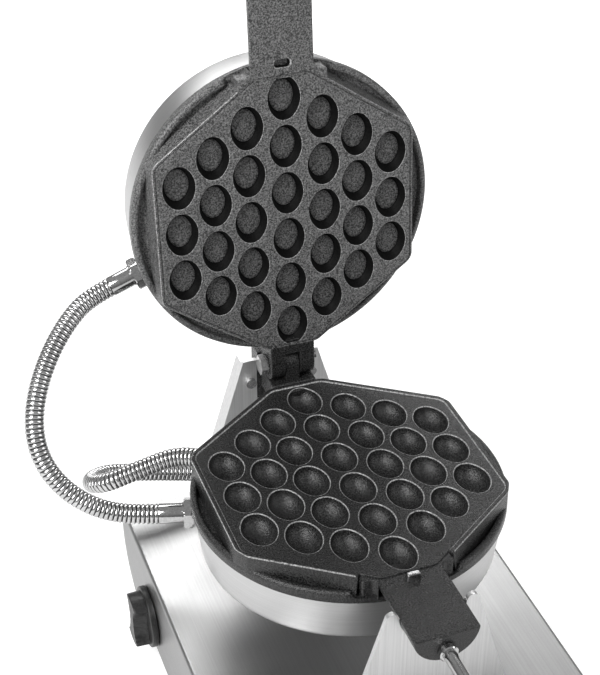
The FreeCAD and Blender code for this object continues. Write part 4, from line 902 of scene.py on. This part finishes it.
# ---------------------------------------------------------------- Conduit glands
# A chromed hexagon nut with eased corners, a collar and a smooth sleeve that takes the hose's end.
# Three are screwed into the sides of the shells, and one into the wing of the rear bracket.
gland_flats = 17.5


def gland_surface(flats, sleeve):
    """Rows along the gland: a hexagon across the nut, chamfered by a cone, then round rings."""
    count, nut, outer = 72, 6.0, 6.3
    turn = np.linspace(0, 2 * np.pi, count, endpoint=False)
    hexagon = (flats / 2) / np.cos((turn + np.pi / 6) % (np.pi / 3) - np.pi / 6)
    corner = flats / math.sqrt(3)
    rows = [(0.0, np.full(count, outer * 0.72)), (0.0, np.minimum(hexagon, corner - 1.0)),
            (0.6, np.minimum(hexagon, corner - 0.3)), (1.2, hexagon), (nut - 1.2, hexagon),
            (nut - 0.6, np.minimum(hexagon, corner - 0.3)), (nut, np.minimum(hexagon, corner - 1.0))]
    rows += [(nut + step, np.full(count, outer + extra)) for step, extra in
             ((0.05, 0.5), (0.9, 0.55), (1.0, 0.0), (sleeve * 0.5, 0.0), (sleeve - 0.7, 0.0),
              (sleeve - 0.2, -0.15), (sleeve, -0.5), (sleeve - 0.1, -1.2))]
    return np.array([np.stack([radius * np.cos(turn), radius * np.sin(turn), np.full(count, along)], 1)
                     for along, radius in rows])


def aimed(rows, start, direction):
    """Rows about Z moved to a start point with Z along a direction, and X level."""
    direction = np.asarray(direction, float) / np.linalg.norm(direction)
    side = np.cross(direction, (0, 0, 1))
    side /= np.linalg.norm(side)
    up = np.cross(direction, side)
    return start + rows[..., :1] * side + rows[..., 1:2] * up + rows[..., 2:] * direction


def around_shell(depth, angle):
    """Where a gland starts and where it points, at a depth and an angle round the shell.

    The shell's radius falls in proportion to the depth; it is taken at the nut's upper edge."""
    top_radius, low_radius, top, tall, clearance = 96, 92.5, 16.5, 28.5, 0.05
    share = (depth - gland_flats / 2 - top) / tall
    heading = np.array([math.cos(math.radians(angle)), math.sin(math.radians(angle)), 0])
    radius = top_radius + (low_radius - top_radius) * share + clearance
    return heading * radius - np.array([0, 0, depth]), heading


chrome = bright_metal("chrome", 0.46, 0.62, 0.07, 0.16, 50.0)
for name, node, depth, angle, sleeve, place, body in (
        ("lower_link_nut", "lower_link_gland", 28.0, 163.0, 15.5, in_pan, "lower_pan"),
        ("lower_supply_nut", "lower_supply_gland", 33.0, 130.0, 4.0, in_pan, "lower_pan"),
        ("upper_link_nut", "upper_link_gland", 25.6, 160.5, 15.5, turned_over, "upper_pan")):
    start, heading = around_shell(depth, angle)
    rows = aimed(gland_surface(gland_flats, sleeve), start, heading)
    nut = make_piece(name, place([grid(rows, True)]), chrome, 30)
    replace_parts(nut, node)
    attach(nut, body)
wing_start = np.array([-54.1, 149.5, 81.0])
wing_rows = aimed(gland_surface(15.0, 4.0), wing_start, (-1, 0, 0.3))
wing_nut = make_piece("supply_nut", [grid(wing_rows / 1000, True)], chrome, 30)
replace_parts(wing_nut, "supply_gland")
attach(wing_nut, "base")


# ---------------------------------------------------------------- Handles
# Each handle is a chromed rod screwed into the bracket's end, with a small ferrule, and a waisted
# black grip whose flat faces the other grip, so that both fit into one hand.
def grip_surface():
    """Rings along the grip: the radius swells and narrows, and the side at the gap is cut flat.

    Above the cut the height nears the gap's side, and what is left falls off as an exponential."""
    axis_z, cut_z, fade = -6.0, -3.2, 1.4
    along = np.array([202, 202.3, 203.2, 205, 208, 213, 220, 230, 242, 254, 266, 278, 290, 300, 306,
                      310, 312.6, 313.7, 314])
    radius = np.array([7.5, 8.6, 9.6, 11.0, 12.3, 12.5, 12.45, 12.6, 13.4, 14.4, 15.0, 15.0, 15.0, 14.8,
                       13.8, 12.4, 10.6, 9.4, 8.4])
    turn = np.linspace(0, 2 * np.pi, 64, endpoint=False)
    x = radius[:, None] * np.cos(turn)
    z = axis_z + radius[:, None] * np.sin(turn)
    z = np.where(z > cut_z, cut_z + fade - fade * np.exp(-(z - cut_z) / fade), z)
    rows = np.stack([x, np.broadcast_to(-along[:, None], x.shape), z], 2)
    return [grid(rows, True), fan(rows[0]), fan(rows[-1][::-1])]


def rod_surface():
    """Rings of the rod and its ferrule, each at a distance in front of the pan's centre."""
    rows = []
    for radius, along in ((4.0, 140), (4.0, 146.1), (5.0, 146.1), (5.6, 146.7), (5.6, 149.4),
                          (5.0, 150.0), (4.0, 150.0), (4.0, 176), (4.0, 203)):
        x, z = round_outline(radius, (0, -12.6), 40).T
        rows.append(np.column_stack([x, np.full(len(x), -along), z]))
    rows = np.array(rows)
    return [grid(rows[:2], True), grid(rows[1:], True)]


bakelite = coating("black_grip", 0.010, 0.024, 0.22, 0.34, 0.06, 500.0)
for name, place, body in (("lower", in_pan, "lower_pan"), ("upper", turned_over, "upper_pan")):
    grip = facing_out(make_piece(name + "_grip", place(grip_surface()), bakelite, 50))
    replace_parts(grip, name + "_handle_grip")
    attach(grip, body)
    rod = facing_out(make_piece(name + "_rod", place(rod_surface()), chrome, 30))
    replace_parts(rod, name + "_handle_rod", name + "_handle_ferrule")
    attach(rod, body)


# ---------------------------------------------------------------- Knob
# The thermostat's knob, moulded in black plastic: a round skirt and a body that two hollow cheeks
# narrow to a finger bar. Pushed on its shaft at the left side of the base.
def knob_rows():
    """Rings of the knob, each at a height over the skirt's back.

    Two balls of 24 mm hollow the cheeks: the height is the bar's less the root of the ball's radius
    squared less the distance from its centre squared, and never under the skirt's."""
    hollow, hollow_place, bar_height, skirt_height = 24.0, 28.5, 13.5, 4.5
    back_x, centre_y, centre_z = -114.1, 85, 23
    ease = {18.55: 1.0, 18.5: 0.12, 18.35: 0.04}
    turn = np.linspace(0, 2 * np.pi, 120, endpoint=False)
    rows = [(radius, np.full(len(turn), height)) for radius, height in
            ((3.2, 0.0), (20.2, 0.0), (20.8, 0.3), (21.0, 0.9), (21.0, 3.5), (20.8, 4.1), (20.2, 4.45),
             (19.4, skirt_height))]
    for radius in (18.55, 18.5, 18.35, 18.0, 17.4, 16.5, 15, 13.5, 12, 10.5, 9, 7.5, 6, 4.5, 3, 1.5,
                   0.3):
        across = np.abs(radius * np.cos(turn)) - hollow_place
        inside = np.maximum(0, hollow ** 2 - across ** 2 - (radius * np.sin(turn)) ** 2)
        height = np.maximum(skirt_height, bar_height - np.sqrt(inside))
        rows.append((radius, height + (skirt_height - height) * ease.get(radius, 0.0)))
    return np.array([np.stack([back_x - height, centre_y + radius * np.cos(turn),
                               centre_z + radius * np.sin(turn)], 1) for radius, height in rows])


knob_plastic = coating("knob_plastic", 0.010, 0.030, 0.28, 0.42, 0.08, 700.0)
knob_points = knob_rows() / 1000
knob = make_piece("dial_knob", [grid(knob_points, True), fan(knob_points[-1])], knob_plastic)
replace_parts(facing_out(knob), "thermostat_knob")
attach(knob, "knob")


# ---------------------------------------------------------------- Fittings
# Rubber feet, the bearing block behind the rear bracket, the switch with its lamp, the mains gland,
# and what is hidden inside: thermostat, terminals, ring heaters, their clamps and fibre pads.
def tinted_lamp(name, colour):
    """Clear moulded plastic, tinted, with faint clouds in its colour."""
    material = new_material(name)
    tree = material.node_tree
    clouds = use_group(tree, speckle, Grain=500.0, Depth=0.05)
    surface(tree, mixed(tree, clouds.outputs["Dots"], 0.6 * np.array(colour), colour), 0.18,
            Transmission_Weight=0.5)
    return material


dress(["rubber_feet"], coating("foot_rubber", 0.010, 0.032, 0.6, 0.75, 0.25, 600.0))
dress(["bearing_block"], lower_coat)
dress(["switch_frame", "mains_gland", "thermostat"],
      coating("black_plastic", 0.012, 0.030, 0.30, 0.45, 0.08, 700.0))
dress(["switch_rocker"], coating("rocker_plastic", 0.016, 0.036, 0.2, 0.32, 0.05))
dress(["signal_lamp"], tinted_lamp("lamp_plastic", (0.80, 0.10, 0.02)))
dress(["terminal_block"],
      coating("terminal_plastic", (0.42, 0.41, 0.38), (0.56, 0.55, 0.51), 0.4, 0.55, 0.1, 500.0))
dress(["bearing_bush"],
      bright_metal("bush_brass", (0.42, 0.28, 0.11), (0.62, 0.44, 0.20), 0.3, 0.45, 90.0))
dress(["lower_heater", "upper_heater"],
      bright_metal("heater_steel", (0.10, 0.095, 0.09), (0.24, 0.22, 0.20), 0.35, 0.55, 120.0))
dress(["lower_heater_clamp", "upper_heater_clamp"],
      bright_metal("clamp_steel", 0.30, 0.46, 0.32, 0.48, 70.0))
dress(["lower_insulation", "upper_insulation"],
      coating("fibre_pad", (0.45, 0.44, 0.40), (0.72, 0.71, 0.68), 0.85, 0.95, 1.0, 420.0))
